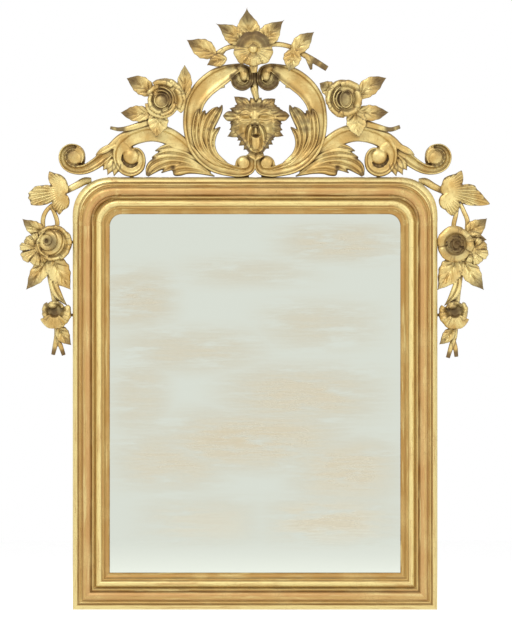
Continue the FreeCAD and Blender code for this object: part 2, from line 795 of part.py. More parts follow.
def drop_point(across_px, down_px, height):
    on_left = across_px < CENTRE_PX
    edge = -HALF_WIDTH.value if on_left else HALF_WIDTH.value
    edge_px = FRAME_LEFT_PX if on_left else FRAME_RIGHT_PX
    return Vector(edge + (across_px - edge_px) * DROP_SCALE, -height,
                  FRAME_TOP.value + (FRAME_TOP_PX - down_px) * DROP_SCALE)


def section_wire(centre, sideways, half_width, back, depth, shares):
    """A closed section across a carved limb, from shares of its half width and depth."""
    points = [centre + sideways * (half_width * across) + FRONT * (back + depth * height)
              for across, height in shares]
    return Part.makePolygon(points + points[:1])


def loft_along(stations, back, depth, shares, ruled=False):
    """A solid through sections square to a line of stations, each a point and a half width."""
    wires = []
    for index, (centre, half_width) in enumerate(stations):
        before = stations[max(index - 1, 0)][0]
        after = stations[min(index + 1, len(stations) - 1)][0]
        sideways = (after - before).normalize().cross(FRONT) * -1
        wires.append(section_wire(centre, sideways, half_width, back, depth, shares))
    return Part.makeLoft(wires, True, ruled)


def fuse_all(shapes):
    return shapes[0].multiFuse(shapes[1:]) if len(shapes) > 1 else shapes[0]


def largest_solid(shape):
    return max(shape.Solids, key=lambda solid: solid.Volume)


def clear_of(shape, neighbours):
    """What is left of a carving once its neighbours are cut out of it."""
    return largest_solid(shape.cut(list(neighbours))) if neighbours else largest_solid(shape)


# Section of a scroll's limb, from its raised outer rim to its hollow inner edge.
BAND_SHARES = ((1, 0), (1, 0.78), (0.84, 1), (0.62, 1), (0.4, 0.82), (-0.1, 0.6), (-0.62, 0.58), (-1, 0.7),
               (-1, 0))
# Section of a volute's drum, from its middle outwards.
DRUM_SHARES = ((0, 0), (1, 0), (1, 0.78), (0.9, 1), (0.72, 1), (0.62, 0.62), (0.56, 0.62), (0.5, 0.92),
               (0.3, 1), (0, 1))
# Section of a leaf: flat back, turned-up edges, a groove down the middle.
LEAF_SHARES = ((1, 0), (1, 0.5), (0.5, 1), (0, 0.6), (-0.5, 1), (-1, 0.5), (-1, 0))
LEAF_STATION_SHARES = ((0, 0.2), (0.14, 0.62), (0.36, 1), (0.62, 0.8), (0.85, 0.38), (1, 0.06))
STEM_SHARES = ((1, 0), (1, 0.45), (0.5, 1), (-0.5, 1), (-1, 0.45), (-1, 0))

# Lines of the left-hand carvings in pixels: across, down and half width, with the raised rim on the left.
CENTRE_SCROLL_PX = ((249, 172, 5.5), (232, 171, 6), (216, 166, 6.8), (204, 157, 7.6), (196, 145, 8.4),
                    (192.5, 131, 8.8), (192, 117, 9), (195, 102, 9.4), (202, 89, 9.5), (213, 79.5, 9.3),
                    (226, 73.2, 8.6), (241, 71.5, 7.2))
CENTRE_DRUMS_PX = ((244, 164, 10.5), (243.6, 77, 12.5))
ARCH_PX = ((124, 168, 4), (121.5, 159, 5.4), (122, 149, 6.6), (128, 140, 7.6), (139, 134, 8.2),
           (152, 131.8, 8.4),
           (166, 135, 8), (178, 142.5, 7.4), (189, 152, 7), (199, 162.5, 6.4), (208, 172, 5.5))
BRANCH_PX = ((75, 169.5, 4), (86, 168.5, 5), (97, 163.5, 5.8), (107, 155, 6), (116, 145.5, 5.2),
             (124, 137, 3.5))
SIDE_DRUMS_PX = ((131.5, 163, 14), (73.4, 158, 14.2))
SIDE_LEAVES_PX = ((192, 153, 154, 150.5, 13), (199, 161, 145.5, 170.5, 17), (204, 168, 161, 172.5, 10),
                  (210, 174, 172, 173, 8))
# The right one is given as its mirror image, which leans further from the mask.
INNER_LEAVES_PX = {
    "left": ((206, 153, 222, 104.5, 13), (202, 146, 202, 109, 13), (212, 156, 220, 127, 9)),
    "right": ((206, 153, 219.6, 104.5, 13), (202, 146, 200, 109, 13), (212, 156, 218.5, 127, 9)),
}


def loft_px(table, point, scale, back, depth, shares, ruled=False):
    stations = [(point(across, down, 0), half * scale) for across, down, half in table]
    return loft_along(stations, back, depth, shares, ruled)


def drum(centre, radius, back, depth):
    """A volute's end, turned: a rim, a groove and a button."""
    points = [centre + RIGHT * (radius * across) + FRONT * (back + depth * height)
              for across, height in DRUM_SHARES]
    face = Part.Face(Part.makePolygon(points + points[:1]))
    return face.revolve(centre, FRONT, 360)


def scroll(bands, drums):
    """A scroll of one or more limbs that end in volutes, standing on the top rail."""
    back, depth = size("batten_thickness").value, size("scroll_depth").value
    shapes = [loft_px(table, crest_point, CREST_SCALE, back, depth, BAND_SHARES) for table in bands]
    shapes += [drum(crest_point(across, down, 0), radius * CREST_SCALE, back, depth)
               for across, down, radius in drums]
    return largest_solid(fuse_all(shapes).cut(rail_and_middle()))


def rail_and_middle():
    """The room below the top rail's edge and past the middle, which no left-hand scroll may enter."""
    reach = size("frame_width").value
    below = Part.makeBox(2 * reach, reach, reach, Vector(-reach, -reach, FRAME_TOP.value - reach))
    beyond = Part.makeBox(reach, reach, 2 * reach, Vector(0, -reach, -reach))
    return [below, beyond]


def leaf(point, scale, row, back, thickness):
    """One leaf from a row of pixels: base, tip, width and, if it has a stalk, where that starts."""
    base_x, base_y, tip_x, tip_y, width = row[:5]
    base, tip = point(base_x, base_y, 0), point(tip_x, tip_y, 0)
    half = width * scale / 2
    stations = [(base + (tip - base) * along, half * share) for along, share in LEAF_STATION_SHARES]
    if len(row) > 5:
        stations.insert(0, (point(*row[5:], 0), stations[0][1]))
    return loft_along(stations, back, thickness, LEAF_SHARES, True)


def leaves(point, scale, rows, back, thickness):
    """Leaves side by side, each cut clear of the ones before it."""
    found = []
    for row in rows:
        found.append(clear_of(leaf(point, scale, row, back, thickness), found))
    return found


def stem(point, scale, table, back):
    return loft_px(table, point, scale, back, size("stem_thickness").value, STEM_SHARES, True)


def mirrored(shape):
    return shape.mirror(Vector(0, 0, 0), RIGHT)


def drilled(shape, label):
    """A carving with the holes of the rods that enter it."""
    holes = holes_in(label)
    for hole in holes:
        hole.recompute()
    return shape.cut([hole.Shape for hole in holes]) if holes else shape


def crest_scrolls():
    """The four scrolls and the acanthus leaves that grow from them."""
    back = size("batten_thickness").value
    centre = scroll([CENTRE_SCROLL_PX], CENTRE_DRUMS_PX)
    side = clear_of(scroll([ARCH_PX, BRANCH_PX], SIDE_DRUMS_PX), [centre])
    depth = size("acanthus_depth").value
    inner = {}
    for side_name, rows in INNER_LEAVES_PX.items():
        grown = fuse_all([leaf(crest_point, CREST_SCALE, row, back, depth) for row in rows])
        inner[side_name] = clear_of(grown, [centre])
    outer_leaves = fuse_all([leaf(crest_point, CREST_SCALE, row, back, depth) for row in SIDE_LEAVES_PX])
    outer = clear_of(outer_leaves.cut(rail_and_middle()), [centre, side])
    for label, shape in (("centre_scroll", centre), ("side_scroll", side), ("side_acanthus", outer)):
        solid_node(f"{label}_left", drilled(shape, f"{label}_left"))
        solid_node(f"{label}_right", drilled(mirrored(shape), f"{label}_right"))
    solid_node("inner_acanthus_left", inner["left"])
    solid_node("inner_acanthus_right", mirrored(inner["right"]))
    return centre


# Flowers: petals are cones that open to the front, round a cup with a bud.

def cone(point, back, height, low_radius, high_radius):
    return Part.makeCone(low_radius, high_radius, height, point + FRONT * back, FRONT)


# Shares of a flower's radius and of its depth.
PETAL_RING_SHARE, PETAL_FOOT_SHARE, PETAL_EDGE_SHARE = 0.52, 0.26, 0.48
PETAL_DEPTH_SHARE, CUP_FOOT_SHARE, CUP_EDGE_SHARE = 0.6, 0.5, 0.62
WELL_SHARE, WELL_DEPTH_SHARE, BUD_SHARE = 0.46, 0.55, 0.26


def petals(centre, radius, back, depth, count, turn):
    found = []
    for step in range(count):
        angle = turn + 2 * math.pi * step / count
        spot = centre + Vector(math.cos(angle), 0, math.sin(angle)) * (radius * PETAL_RING_SHARE)
        found.append(cone(spot, back, depth * PETAL_DEPTH_SHARE, radius * PETAL_FOOT_SHARE,
                          radius * PETAL_EDGE_SHARE))
    return found


def rose(centre, radius, back, depth, calyx):
    """Five open petals, a cup above them with a round well, and a bud in the well."""
    parts = petals(centre, radius, back, depth, 5, math.pi / 2)
    parts.append(cone(centre, back, depth, radius * CUP_FOOT_SHARE, radius * CUP_EDGE_SHARE))
    parts.append(cone(centre, back - calyx, calyx, radius * BUD_SHARE, radius * BUD_SHARE * 1.2))
    whole = fuse_all(parts)
    well = cone(centre, back + depth * (1 - WELL_DEPTH_SHARE), depth, radius * BUD_SHARE,
                radius * WELL_SHARE)
    bud = cone(centre, back, depth * 0.9, radius * BUD_SHARE, radius * BUD_SHARE * 0.6)
    return largest_solid(whole.cut(well).fuse(bud))


def trumpet(centre, radius, back, depth, calyx, count=6):
    """An open flower: a funnel of petals with a boss in its throat."""
    parts = petals(centre, radius, back, depth, count, math.pi / 2)
    parts.append(cone(centre, back - calyx, calyx + depth * PETAL_DEPTH_SHARE, radius * BUD_SHARE,
                      radius * CUP_EDGE_SHARE))
    whole = fuse_all(parts)
    throat = cone(centre, back + depth * 0.3, depth * PETAL_DEPTH_SHARE, radius * BUD_SHARE,
                  radius * PETAL_RING_SHARE * 1.4)
    boss = Part.makeSphere(radius * BUD_SHARE, centre + FRONT * (back + depth * 0.3))
    return largest_solid(whole.cut(throat).fuse(boss))


# Crest flowers and leaves in pixels: leaf rows are base, tip and width, stems as the limbs above.
CREST_ROSES_PX = {"left": (165.5, 99.5, 20.5), "right": (344.2, 98.7, 19)}
CREST_ROSE_LEAVES_PX = {
    "left": ((158.5, 117, 156.3, 137, 19), (149, 109, 121, 113, 14), (149, 92, 127, 79, 15),
             (180, 92, 184.5, 65.5, 12)),
    "right": ((356, 116, 359.2, 137, 18), (358, 112, 388, 112.6, 14), (361, 94, 385.7, 78.7, 16),
              (331, 91, 320, 83, 9)),
}
CREST_TWIGS_PX = {
    "left": ((168, 96, 3), (164, 108, 3.2), (157, 117, 3.4), (146, 122.5, 3.6), (132, 127.5, 3),
             (120, 129.5, 2.2), (110.5, 128, 1.4)),
    "right": ((342, 96, 3), (346, 108, 3.2), (353, 117, 3.4), (364, 122.5, 3.6), (378, 127, 3),
              (390, 129.8, 2.2), (400, 127.5, 1.5)),
}
TOP_FLOWER_PX = (252.7, 49.8, 18.5)
TOP_STEM_PX = ((253, 47, 4), (253.2, 58, 4), (253.4, 70, 4.5))
TOP_LEAVES_PX = ((251, 40, 246.9, 8, 22), (243, 42, 215.9, 24, 16), (263, 41, 284.2, 20.7, 18))
SPRIG_STEMS_PX = {
    "left": ((253, 49, 3), (243, 47.5, 3), (232, 47, 2.6), (222, 50.5, 2.4), (213, 56.5, 2)),
    "right": ((253, 48, 3), (264, 45.5, 3), (277, 44.5, 2.6), (291, 47.5, 2.4), (303, 54.5, 2.6),
              (315, 61.5, 2.6), (327, 68.8, 2.2)),
}
TWIG_END_PX = ((309, 57.5, 2.2), (310, 63.5, 2), (311, 69.4, 1.5))
SPRIG_LEAVES_PX = {
    "left": ((215, 53.5, 187.2, 40.8, 17), (227, 55, 207.5, 65.8, 12)),
    "right": ((294, 51.5, 313.6, 32.7, 15), (292.5, 50, 288.8, 71.8, 17)),
}


def crest_flowers():
    stem_back, leaf_back, bloom_back = SCROLL_FRONT.value, CREST_LEAF.value, CREST_BLOSSOM.value
    thickness, depth = size("leaf_thickness").value, size("blossom_depth").value
    calyx = thickness + size("layer_play").value
    for side in SIDES:
        across, down, radius = CREST_ROSES_PX[side]
        bloom = rose(crest_point(across, down, 0), radius * CREST_SCALE, bloom_back, depth, calyx)
        solid_node(f"crest_rose_{side}", bloom)
        rows = [row + (across, down) for row in CREST_ROSE_LEAVES_PX[side]]
        found = leaves(crest_point, CREST_SCALE, rows, leaf_back, thickness)
        trimmed = [clear_of(one, [bloom]) for one in found]
        solid_node(f"crest_rose_leaves_{side}", Part.makeCompound(trimmed))
        solid_node(f"crest_twig_{side}", stem(crest_point, CREST_SCALE, CREST_TWIGS_PX[side], stem_back))
    across, down, radius = TOP_FLOWER_PX
    middle = crest_point(across, down, 0)
    flower = trumpet(middle, radius * CREST_SCALE, bloom_back, depth, calyx)
    upright = stem(crest_point, CREST_SCALE, TOP_STEM_PX, stem_back)
    core = Part.makeCylinder(radius * CREST_SCALE * BUD_SHARE, bloom_back - stem_back,
                             middle + FRONT * stem_back, FRONT)
    flower = largest_solid(fuse_all([flower, upright, core]))
    solid_node("top_flower", flower)
    found = leaves(crest_point, CREST_SCALE, TOP_LEAVES_PX, leaf_back, thickness)
    found = [clear_of(one, [flower]) for one in found]
    solid_node("top_leaves", Part.makeCompound(found))
    for side in SIDES:
        sprig = stem(crest_point, CREST_SCALE, SPRIG_STEMS_PX[side], stem_back)
        if side == "right":
            sprig = largest_solid(sprig.fuse(stem(crest_point, CREST_SCALE, TWIG_END_PX, stem_back)))
        solid_node(f"sprig_stem_{side}", clear_of(sprig, [flower]))
        tips = leaves(crest_point, CREST_SCALE, SPRIG_LEAVES_PX[side], leaf_back, thickness)
        tips = [clear_of(one, [flower] + found) for one in tips]
        solid_node(f"sprig_leaves_{side}", Part.makeCompound(tips))


# The mask: a leafy outline, a domed face with brow, cheeks, nose and an open mouth, and two pointed ears.
MASK_OUTLINE_PX = (
    (234.5, 96.5), (247.5, 100.5), (250.5, 97.5), (255.5, 101), (262, 97.5), (265.5, 100.5), (275.5, 98),
    (274.5, 103.5),
    (283.5, 110), (281, 120), (283.5, 131), (283.5, 136), (275, 135), (273.5, 144), (266, 152), (263, 156),
    (249, 156), (244, 149.5), (238.5, 145), (237, 134), (227.5, 136.5), (230, 127), (230, 118), (229, 108.5),
    (236, 104))
MASK_FACE_PX = (256, 124.5, 22.5, 29.5)
MASK_FACE_SHARES = ((1, 0), (0.93, 0.35), (0.76, 0.7), (0.5, 0.92), (0.2, 1))
MASK_EARS_PX = ((233, 113.5, 223.2, 116.5, 9), (279.5, 113.5, 289.6, 116.5, 9))
MASK_CHEEKS_PX = ((244.3, 129, 6.5), (267.4, 128.5, 6.5))
MASK_BROWS_PX = ((245, 112, 5), (265.5, 111.5, 5))
MASK_NOSE_PX = (255, 121.5, 4.6)
MASK_MOUTH_PX = (256, 140, 7, 13)
MASK_TONGUE_PX = (256, 144, 4, 7.5)
MASK_STEM_PX = ((254.5, 86, 4.5), (255.5, 92, 3.6), (256.5, 98, 3.4), (257, 104, 3.8))
BALL_SINK_SHARE = 0.55


def oval(across, down, half_width, half_height, height):
    """An upright ellipse on the mask, facing the front."""
    middle = crest_point(across, down, height)
    ellipse = Part.Ellipse(middle + UP * (half_height * CREST_SCALE),
                           middle + RIGHT * (half_width * CREST_SCALE), middle)
    return Part.Wire(ellipse.toShape())


def oval_dome(row, back, depth, shares):
    across, down, half_width, half_height = row
    return Part.makeLoft([oval(across, down, half_width * share, half_height * share, back + depth * height)
                          for share, height in shares], True, False)


def mask_solid(neighbours):
    back, plate = size("mask_back").value, size("mask_plate_depth").value
    face_depth = size("mask_face_depth").value
    outline = [crest_point(across, down, back) for across, down in MASK_OUTLINE_PX]
    parts = [Part.Face(Part.makePolygon(outline + outline[:1])).extrude(FRONT * plate)]
    front = back + plate
    parts.append(oval_dome(MASK_FACE_PX, front - plate / 2, face_depth, MASK_FACE_SHARES))
    for across, down, radius in MASK_CHEEKS_PX + MASK_BROWS_PX + (MASK_NOSE_PX,):
        ball = radius * CREST_SCALE
        parts.append(Part.makeSphere(ball, crest_point(across, down, front + face_depth * BALL_SINK_SHARE)))
    parts += [leaf(crest_point, CREST_SCALE, row, back, plate) for row in MASK_EARS_PX]
    whole = fuse_all(parts)
    mouth = oval_dome(MASK_MOUTH_PX, front, face_depth * 2, ((0.8, 0), (1, 1)))
    tongue = oval_dome(MASK_TONGUE_PX, front - plate / 2, face_depth * 0.7, ((1, 0), (0.9, 0.7), (0.5, 1)))
    return clear_of(whole.cut(mouth).fuse(tongue), neighbours)


def mask_and_stem(scrolls):
    mask = mask_solid(scrolls)
    solid_node("mask", mask)
    shape = loft_px(MASK_STEM_PX, crest_point, CREST_SCALE, size("mask_back").value,
                    size("mask_stem_depth").value,
                    STEM_SHARES)
    solid_node("mask_stem", clear_of(shape, scrolls + [mask]))


# Side drops in pixels.
DROP_SPRIG_LEAVES_PX = {
    "left": ((66, 190, 27.5, 195, 21), (60, 193, 48.8, 171.3, 15), (58, 196, 59, 214.5, 15)),
    "right": ((444, 190, 490.8, 203.5, 20), (450, 193, 462.2, 170.8, 15), (452, 196, 451.5, 215, 17)),
}
DROP_STEMS_PX = {
    "left": (((91, 179, 3), (80, 184, 3.2), (66, 190, 3), (56, 195, 2.8)),
             ((52, 204, 2), (45, 211, 2), (42, 219, 2), (43, 230, 2.2)),
             ((53, 207, 1.8), (56, 215, 1.8), (57.5, 223, 1.8), (57, 232, 2)),
             ((49, 262, 3.2), (50, 275, 3.4), (53, 290, 3.4), (55, 304, 3), (56, 320, 3), (56.5, 334, 2.8),
              (54, 346, 2.2), (52, 355, 1.6)),
             ((57, 338, 2), (60, 346, 2), (63.4, 355.4, 1.6))),
    "right": (((418.5, 180, 2.8), (430, 184.5, 3.2), (444, 190.5, 3), (454, 195, 2.8)),
              ((457, 208, 1.8), (455.5, 216, 1.8), (454, 224, 1.8), (454, 232, 2)),
              ((461, 203, 2), (465, 212, 2), (468, 221, 2), (467, 231, 2.2)),
              ((461, 262, 3.2), (460, 275, 3.4), (458, 290, 3.4), (457, 304, 3), (456, 320, 3),
               (455, 336, 2.8), (452, 346, 2.2), (448, 358, 1.8)),
              ((454, 340, 2), (456, 348, 2), (457, 357, 1.7))),
}
DROP_ROSES_PX = {"left": (52.5, 242, 17.5), "right": (456, 243, 17.5)}
DROP_BLOOMS_PX = {"left": (36.5, 248.5, 17.8), "right": (473.2, 250.5, 17.2)}
DROP_LEAVES_PX = {
    "left": ((46, 268, 26, 290, 14, 49, 264), (52, 266, 70.6, 289.5, 17, 49.5, 261),
             (40, 231, 22, 218.8, 10, 52.5, 242), (56.5, 283, 66, 306, 9, 51.5, 281),
             (58.5, 331, 70.6, 345, 11, 56, 318)),
    "right": ((464, 268, 484.3, 290, 14, 460.5, 264), (457.5, 266, 438.6, 290, 17, 461, 261),
              (471, 231, 487.8, 218, 11, 456, 243), (454, 285, 445, 305, 9, 459.5, 281),
              (452, 331, 439.4, 344.5, 10, 454.2, 318)),
}
DROP_FLOWERS_PX = {"left": (56, 315.3, 14.4), "right": (454.2, 316.2, 15)}


def side_drops():
    stem_back, leaf_back, bloom_back = size("drop_back").value, DROP_LEAF.value, DROP_BLOSSOM.value
    thickness, depth = size("leaf_thickness").value, size("blossom_depth").value
    calyx = thickness + size("layer_play").value
    for side in SIDES:
        centre, radius = drop_point(*DROP_ROSES_PX[side][:2], 0), DROP_ROSES_PX[side][2] * DROP_SCALE
        bloom = drilled(rose(centre, radius, bloom_back, depth, calyx), f"drop_rose_{side}")
        solid_node(f"drop_rose_{side}", bloom)
        centre, radius = drop_point(*DROP_FLOWERS_PX[side][:2], 0), DROP_FLOWERS_PX[side][2] * DROP_SCALE
        flower = drilled(trumpet(centre, radius, bloom_back, depth, calyx), f"drop_flower_{side}")
        solid_node(f"drop_flower_{side}", flower)
        centre, radius = drop_point(*DROP_BLOOMS_PX[side][:2], 0), DROP_BLOOMS_PX[side][2] * DROP_SCALE
        half_open = trumpet(centre, radius, bloom_back, depth, calyx, 7)
        half_open = clear_of(half_open, [bloom])
        solid_node(f"drop_bloom_{side}", half_open)
        found = leaves(drop_point, DROP_SCALE, DROP_LEAVES_PX[side], leaf_back, thickness)
        found = [clear_of(one, [bloom, flower, half_open]) for one in found]
        solid_node(f"drop_leaves_{side}", Part.makeCompound(found))
        stems = [stem(drop_point, DROP_SCALE, table, stem_back) for table in DROP_STEMS_PX[side]]
        stems[0] = clear_of(stems[0], [nodes[f"{side}_corner_block"].Shape])
        solid_node(f"drop_stems_{side}", Part.makeCompound(fuse_all(stems).Solids))
        sprig = [leaf(drop_point, DROP_SCALE, row, leaf_back, thickness) for row in DROP_SPRIG_LEAVES_PX[side]]
        solid_node(f"drop_sprig_{side}", largest_solid(fuse_all(sprig)))
    group_node("drop_pegs", rods_of(ROD_SETS[5]))


def check_and_write():
    """Writes every sub-part, once all of them are whole."""
    doc.recompute()
    for thing in doc.Objects:
        if any(word in thing.State for word in ("Invalid", "Error")):
            raise RuntimeError(f"{thing.Name} failed: {thing.State}")
    os.makedirs("parts", exist_ok=True)
    for label, thing in nodes.items():
        shape = thing.Shape
        if shape.isNull() or not shape.isValid() or not shape.Solids:
            raise RuntimeError(f"{label} has no valid shape")
    for label, thing in nodes.items():
        thing.Shape.exportStep(os.path.join("parts", f"{label}.step"))


frame_members()
corner_blocks()
mirror_and_boards()
hangers()
battens()
centre_left = crest_scrolls()
mask_and_stem([centre_left, mirrored(centre_left)])
crest_flowers()
side_drops()
check_and_write()
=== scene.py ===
"""Looks of the carved and gilded wall mirror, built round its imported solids.

Carved pieces are worked out in millimetres: across and up in the plane of the wall, and a height in front of
it. Places read from the photograph are given in its pixels, and spot() turns them into millimetres.
"""
import math

import bpy
import numpy as np
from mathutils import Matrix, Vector


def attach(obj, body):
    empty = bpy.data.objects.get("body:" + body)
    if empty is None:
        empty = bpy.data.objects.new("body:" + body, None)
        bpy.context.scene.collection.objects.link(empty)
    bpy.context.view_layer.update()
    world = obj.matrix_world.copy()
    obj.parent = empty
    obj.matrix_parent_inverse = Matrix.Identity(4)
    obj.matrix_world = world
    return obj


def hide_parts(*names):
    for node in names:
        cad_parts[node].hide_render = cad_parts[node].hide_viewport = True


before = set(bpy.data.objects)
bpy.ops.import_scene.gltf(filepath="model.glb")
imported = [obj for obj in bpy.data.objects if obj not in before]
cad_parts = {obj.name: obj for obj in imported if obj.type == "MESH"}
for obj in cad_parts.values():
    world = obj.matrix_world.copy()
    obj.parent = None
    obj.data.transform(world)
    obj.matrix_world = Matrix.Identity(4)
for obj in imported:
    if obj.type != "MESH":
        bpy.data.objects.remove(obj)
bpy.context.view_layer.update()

MM = 0.001
PIXEL = 2.0
CENTRE_PX = 255.1
RAIL_PX = 177.0
RAIL_TOP = 31.0
BODY = "mirror"
TURN = 2 * math.pi

# Heights of the carving's layers in front of the wall, in millimetres, as the solids have them.
SCROLL_BACK, SCROLL_DEPTH = 12.0, 24.0
CREST_STEM, CREST_LEAF, CREST_BLOOM = 36.0, 43.2, 51.4
DROP_STEM, DROP_LEAF, DROP_BLOOM = 3.0, 10.2, 18.4
STEM_DEPTH, ACANTHUS_DEPTH, BLOOM_DEPTH = 7.0, 22.0, 26.0
MASK_BACK, MASK_EDGE, MASK_GROUND = 14.0, 5.0, 9.0
# Skins of carved pieces: size of their cells in millimetres, and rounds of softening.
COARSE, MEDIUM, CLOSE, FINE, FINEST = (1.1, 3), (0.95, 2), (0.9, 2), (0.85, 2), (0.75, 2)
SIDES = ("left", "right")


def spot(across_px, down_px):
    """A place on the photograph, or many of them, in millimetres across and up."""
    return np.stack([(across_px - CENTRE_PX) * PIXEL, RAIL_TOP + (RAIL_PX - down_px) * PIXEL], axis=-1)


def smooth_path(rows, step):
    """Evenly spaced rows on a smooth curve through the rows given; the first two columns are the place."""
    rows = np.asarray(rows, float)
    padded = np.vstack([2 * rows[0] - rows[1], rows, 2 * rows[-1] - rows[-2]])
    fine = []
    for index in range(len(rows) - 1):
        before, start, end, after = padded[index:index + 4]
        for t in np.linspace(0, 1, 16, endpoint=False):
            fine.append(0.5 * (2 * start + (end - before) * t
                               + (2 * before - 5 * start + 4 * end - after) * t * t
                               + (3 * start - before - 3 * end + after) * t ** 3))
    fine = np.array(fine + [rows[-1]])
    run = np.concatenate([[0], np.cumsum(np.linalg.norm(np.diff(fine[:, :2], axis=0), axis=1))])
    marks = np.linspace(0, run[-1], max(5, int(run[-1] / step) + 1))
    return np.column_stack([np.interp(marks, run, fine[:, column]) for column in range(rows.shape[1])])


def bump(distance, width):
    """A smooth hump of height one."""
    return np.exp(-(distance / width) ** 2)


def rise(value, low, high):
    """A smooth step from 0 at low to 1 at high."""
    share = np.clip((value - low) / (high - low), 0, 1)
    return share * share * (3 - 2 * share)


class Carving:
    """Closed forms that grow together into one carved piece."""

    def __init__(self):
        self.points = []
        self.faces = []
        self.dirt_and_shade = []
        self.count = 0

    def rings(self, loops):
        """A closed form from loops of points one after another, capped at both ends."""
        loops = np.asarray(loops, float)
        many, around = loops.shape[:2]
        index = np.arange(many * around).reshape(many, around) + self.count
        turned = np.roll(index, -1, axis=1)
        quads = np.stack([index[:-1], turned[:-1], turned[1:], index[1:]], axis=-1).reshape(-1, 4)
        self.faces += quads.tolist() + [index[0][::-1].tolist(), index[-1].tolist()]
        self.points.append(loops.reshape(-1, 3))
        self.count += many * around
        return self

    def slab(self, plan, front, back):
        """A closed form over a plan of loops that widen from a middle."""
        behind = loop_points(plan, back + 0 * front)
        return self.rings(np.concatenate([loop_points(plan, front), behind[::-1]]))

    def sheet(self, plan, front, back):
        """A closed form over a plan of rows that lie side by side."""
        behind = loop_points(plan, back)
        return self.rings(np.concatenate([loop_points(plan, front), behind[:, ::-1]], axis=1))

    def soil_and_shade(self, across_px, down_px, radius_px, strength):
        """Marks a place to darken, used both for dirt, such as on a leaf's tip, and for painted shade, such
        as in a hollow.
        """
        self.dirt_and_shade.append((*spot(across_px, down_px), radius_px * PIXEL, strength))

    def soil_and_shade_each(self, places_px, radius_px, strength):
        """Marks several places to darken, used both for dirt and for painted shade."""
        for place in places_px:
            self.soil_and_shade(*place, radius_px, strength)

    def soil_and_shade_along(self, places, radius_px, strength):
        """Marks a darkened line through places given in millimetres: painted shade along an outline, with
        some dirt.
        """
        self.dirt_and_shade += [(*place, radius_px * PIXEL, strength) for place in places]

    def mirrored(self):
        """The same forms on the other side of the mirror's middle."""
        other = Carving()
        other.points = [block * (-1, 1, 1) for block in self.points]
        other.faces = [face[::-1] for face in self.faces]
        other.dirt_and_shade = [(-across, *rest) for across, *rest in self.dirt_and_shade]
        other.count = self.count
        return other

    def piece(self, name, look, grain=COARSE):
        """Fuses the forms into one skin and puts it in the place of the CAD node of the same name."""
        cell, softening = grain
        mesh = bpy.data.meshes.new(name + "_forms")
        mesh.from_pydata((np.vstack(self.points) * MM).tolist(), [], self.faces)
        thing = bpy.data.objects.new("carved_" + name, mesh)
        bpy.context.scene.collection.objects.link(thing)
        fuse = thing.modifiers.new("Fuse", "REMESH")
        fuse.mode = "VOXEL"
        fuse.voxel_size = cell * MM
        fuse.use_smooth_shade = True
        ease = thing.modifiers.new("Ease", "SMOOTH")
        ease.factor = 0.5
        ease.iterations = softening
        graph = bpy.context.evaluated_depsgraph_get()
        skin = bpy.data.meshes.new_from_object(thing.evaluated_get(graph), depsgraph=graph)
        thing.modifiers.clear()
        thing.data = skin
        bpy.data.meshes.remove(mesh)
        self.mark_dirt_and_shade(skin)
        skin.materials.clear()
        skin.materials.append(look)
        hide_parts(name)
        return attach(thing, BODY)

    def mark_dirt_and_shade(self, skin):
        """Stores how dark each point is, by dirt and by painted shade, for the material to read."""
        places = np.empty(len(skin.vertices) * 3, np.float32)
        skin.vertices.foreach_get("co", places)
        places = places.reshape(-1, 3) / MM
        darkness = np.zeros(len(places), np.float32)
        for across, up, radius, strength in self.dirt_and_shade:
            away = np.hypot(places[:, 0] - across, places[:, 2] - up)
            darkness = np.maximum(darkness, strength * bump(away, radius))
        store = skin.attributes.new("dirt_and_shade", "FLOAT", "POINT")
        store.data.foreach_set("value", darkness.astype(np.float32))


def loop_points(plan, heights):
    """Joins places in the wall's plane and heights in front of it into points."""
    return np.stack([plan[..., 0], -heights, plan[..., 1]], axis=-1)


# Sections across a limb: share of its half width, outer edge first, and share of its depth.
RIMMED = (
    (1, 0), (1, 0.4), (1, 0.76), (0.97, 0.89), (0.89, 0.98), (0.79, 1), (0.69, 0.97), (0.62, 0.88),
    (0.585, 0.74), (0.5, 0.665), (0.3, 0.585), (0.05, 0.54), (-0.25, 0.54), (-0.5, 0.58), (-0.7, 0.65),
    (-0.86, 0.745), (-0.94, 0.76), (-1, 0.68), (-1, 0.35), (-1, 0))
ARCHED = (
    (1, 0), (1, 0.5), (0.97, 0.78), (0.88, 0.92), (0.72, 0.99), (0.54, 0.98), (0.4, 0.92), (0.31, 0.8),
    (0.22, 0.72), (0.05, 0.67), (-0.3, 0.65), (-0.7, 0.67), (-0.9, 0.65), (-1, 0.52), (-1, 0.2), (-1, 0))
TWO_RIMS = (
    (1, 0), (1, 0.4), (1, 0.74), (0.95, 0.9), (0.84, 0.99), (0.7, 0.96), (0.6, 0.84), (0.52, 0.7),
    (0.3, 0.6), (0, 0.56), (-0.3, 0.6), (-0.52, 0.7), (-0.6, 0.8), (-0.72, 0.88), (-0.86, 0.88),
    (-0.96, 0.8), (-1, 0.66), (-1, 0.3), (-1, 0))
GROOVED = (
    (1, 0), (1, 0.6), (0.88, 0.84), (0.62, 0.98), (0.38, 0.96), (0.15, 0.82), (0, 0.74), (-0.15, 0.82),
    (-0.38, 0.96), (-0.62, 0.98), (-0.88, 0.84), (-1, 0.6), (-1, 0))
ROUND = tuple((math.cos(TURN * k / 16), 0.5 + 0.5 * math.sin(TURN * k / 16)) for k in range(16))


def sweep(carving, rows, back, depth, section, step=0.6):
    """A limb along rows of place and half width in pixels, and a share of its depth where that isn't one."""
    path = smooth_path([(*row, 1)[:4] for row in rows], step)
    centre = spot(path[:, 0], path[:, 1])
    along = np.gradient(centre, axis=0)
    along /= np.linalg.norm(along, axis=1)[:, None]
    outward = np.column_stack([-along[:, 1], along[:, 0]])
    section = np.array(section)
    half = path[:, 2] * PIXEL
    plan = centre[:, None] + outward[:, None] * (half[:, None] * section[:, 0])[..., None]
    return carving.rings(loop_points(plan, back + depth * path[:, 3:] * section[:, 1]))


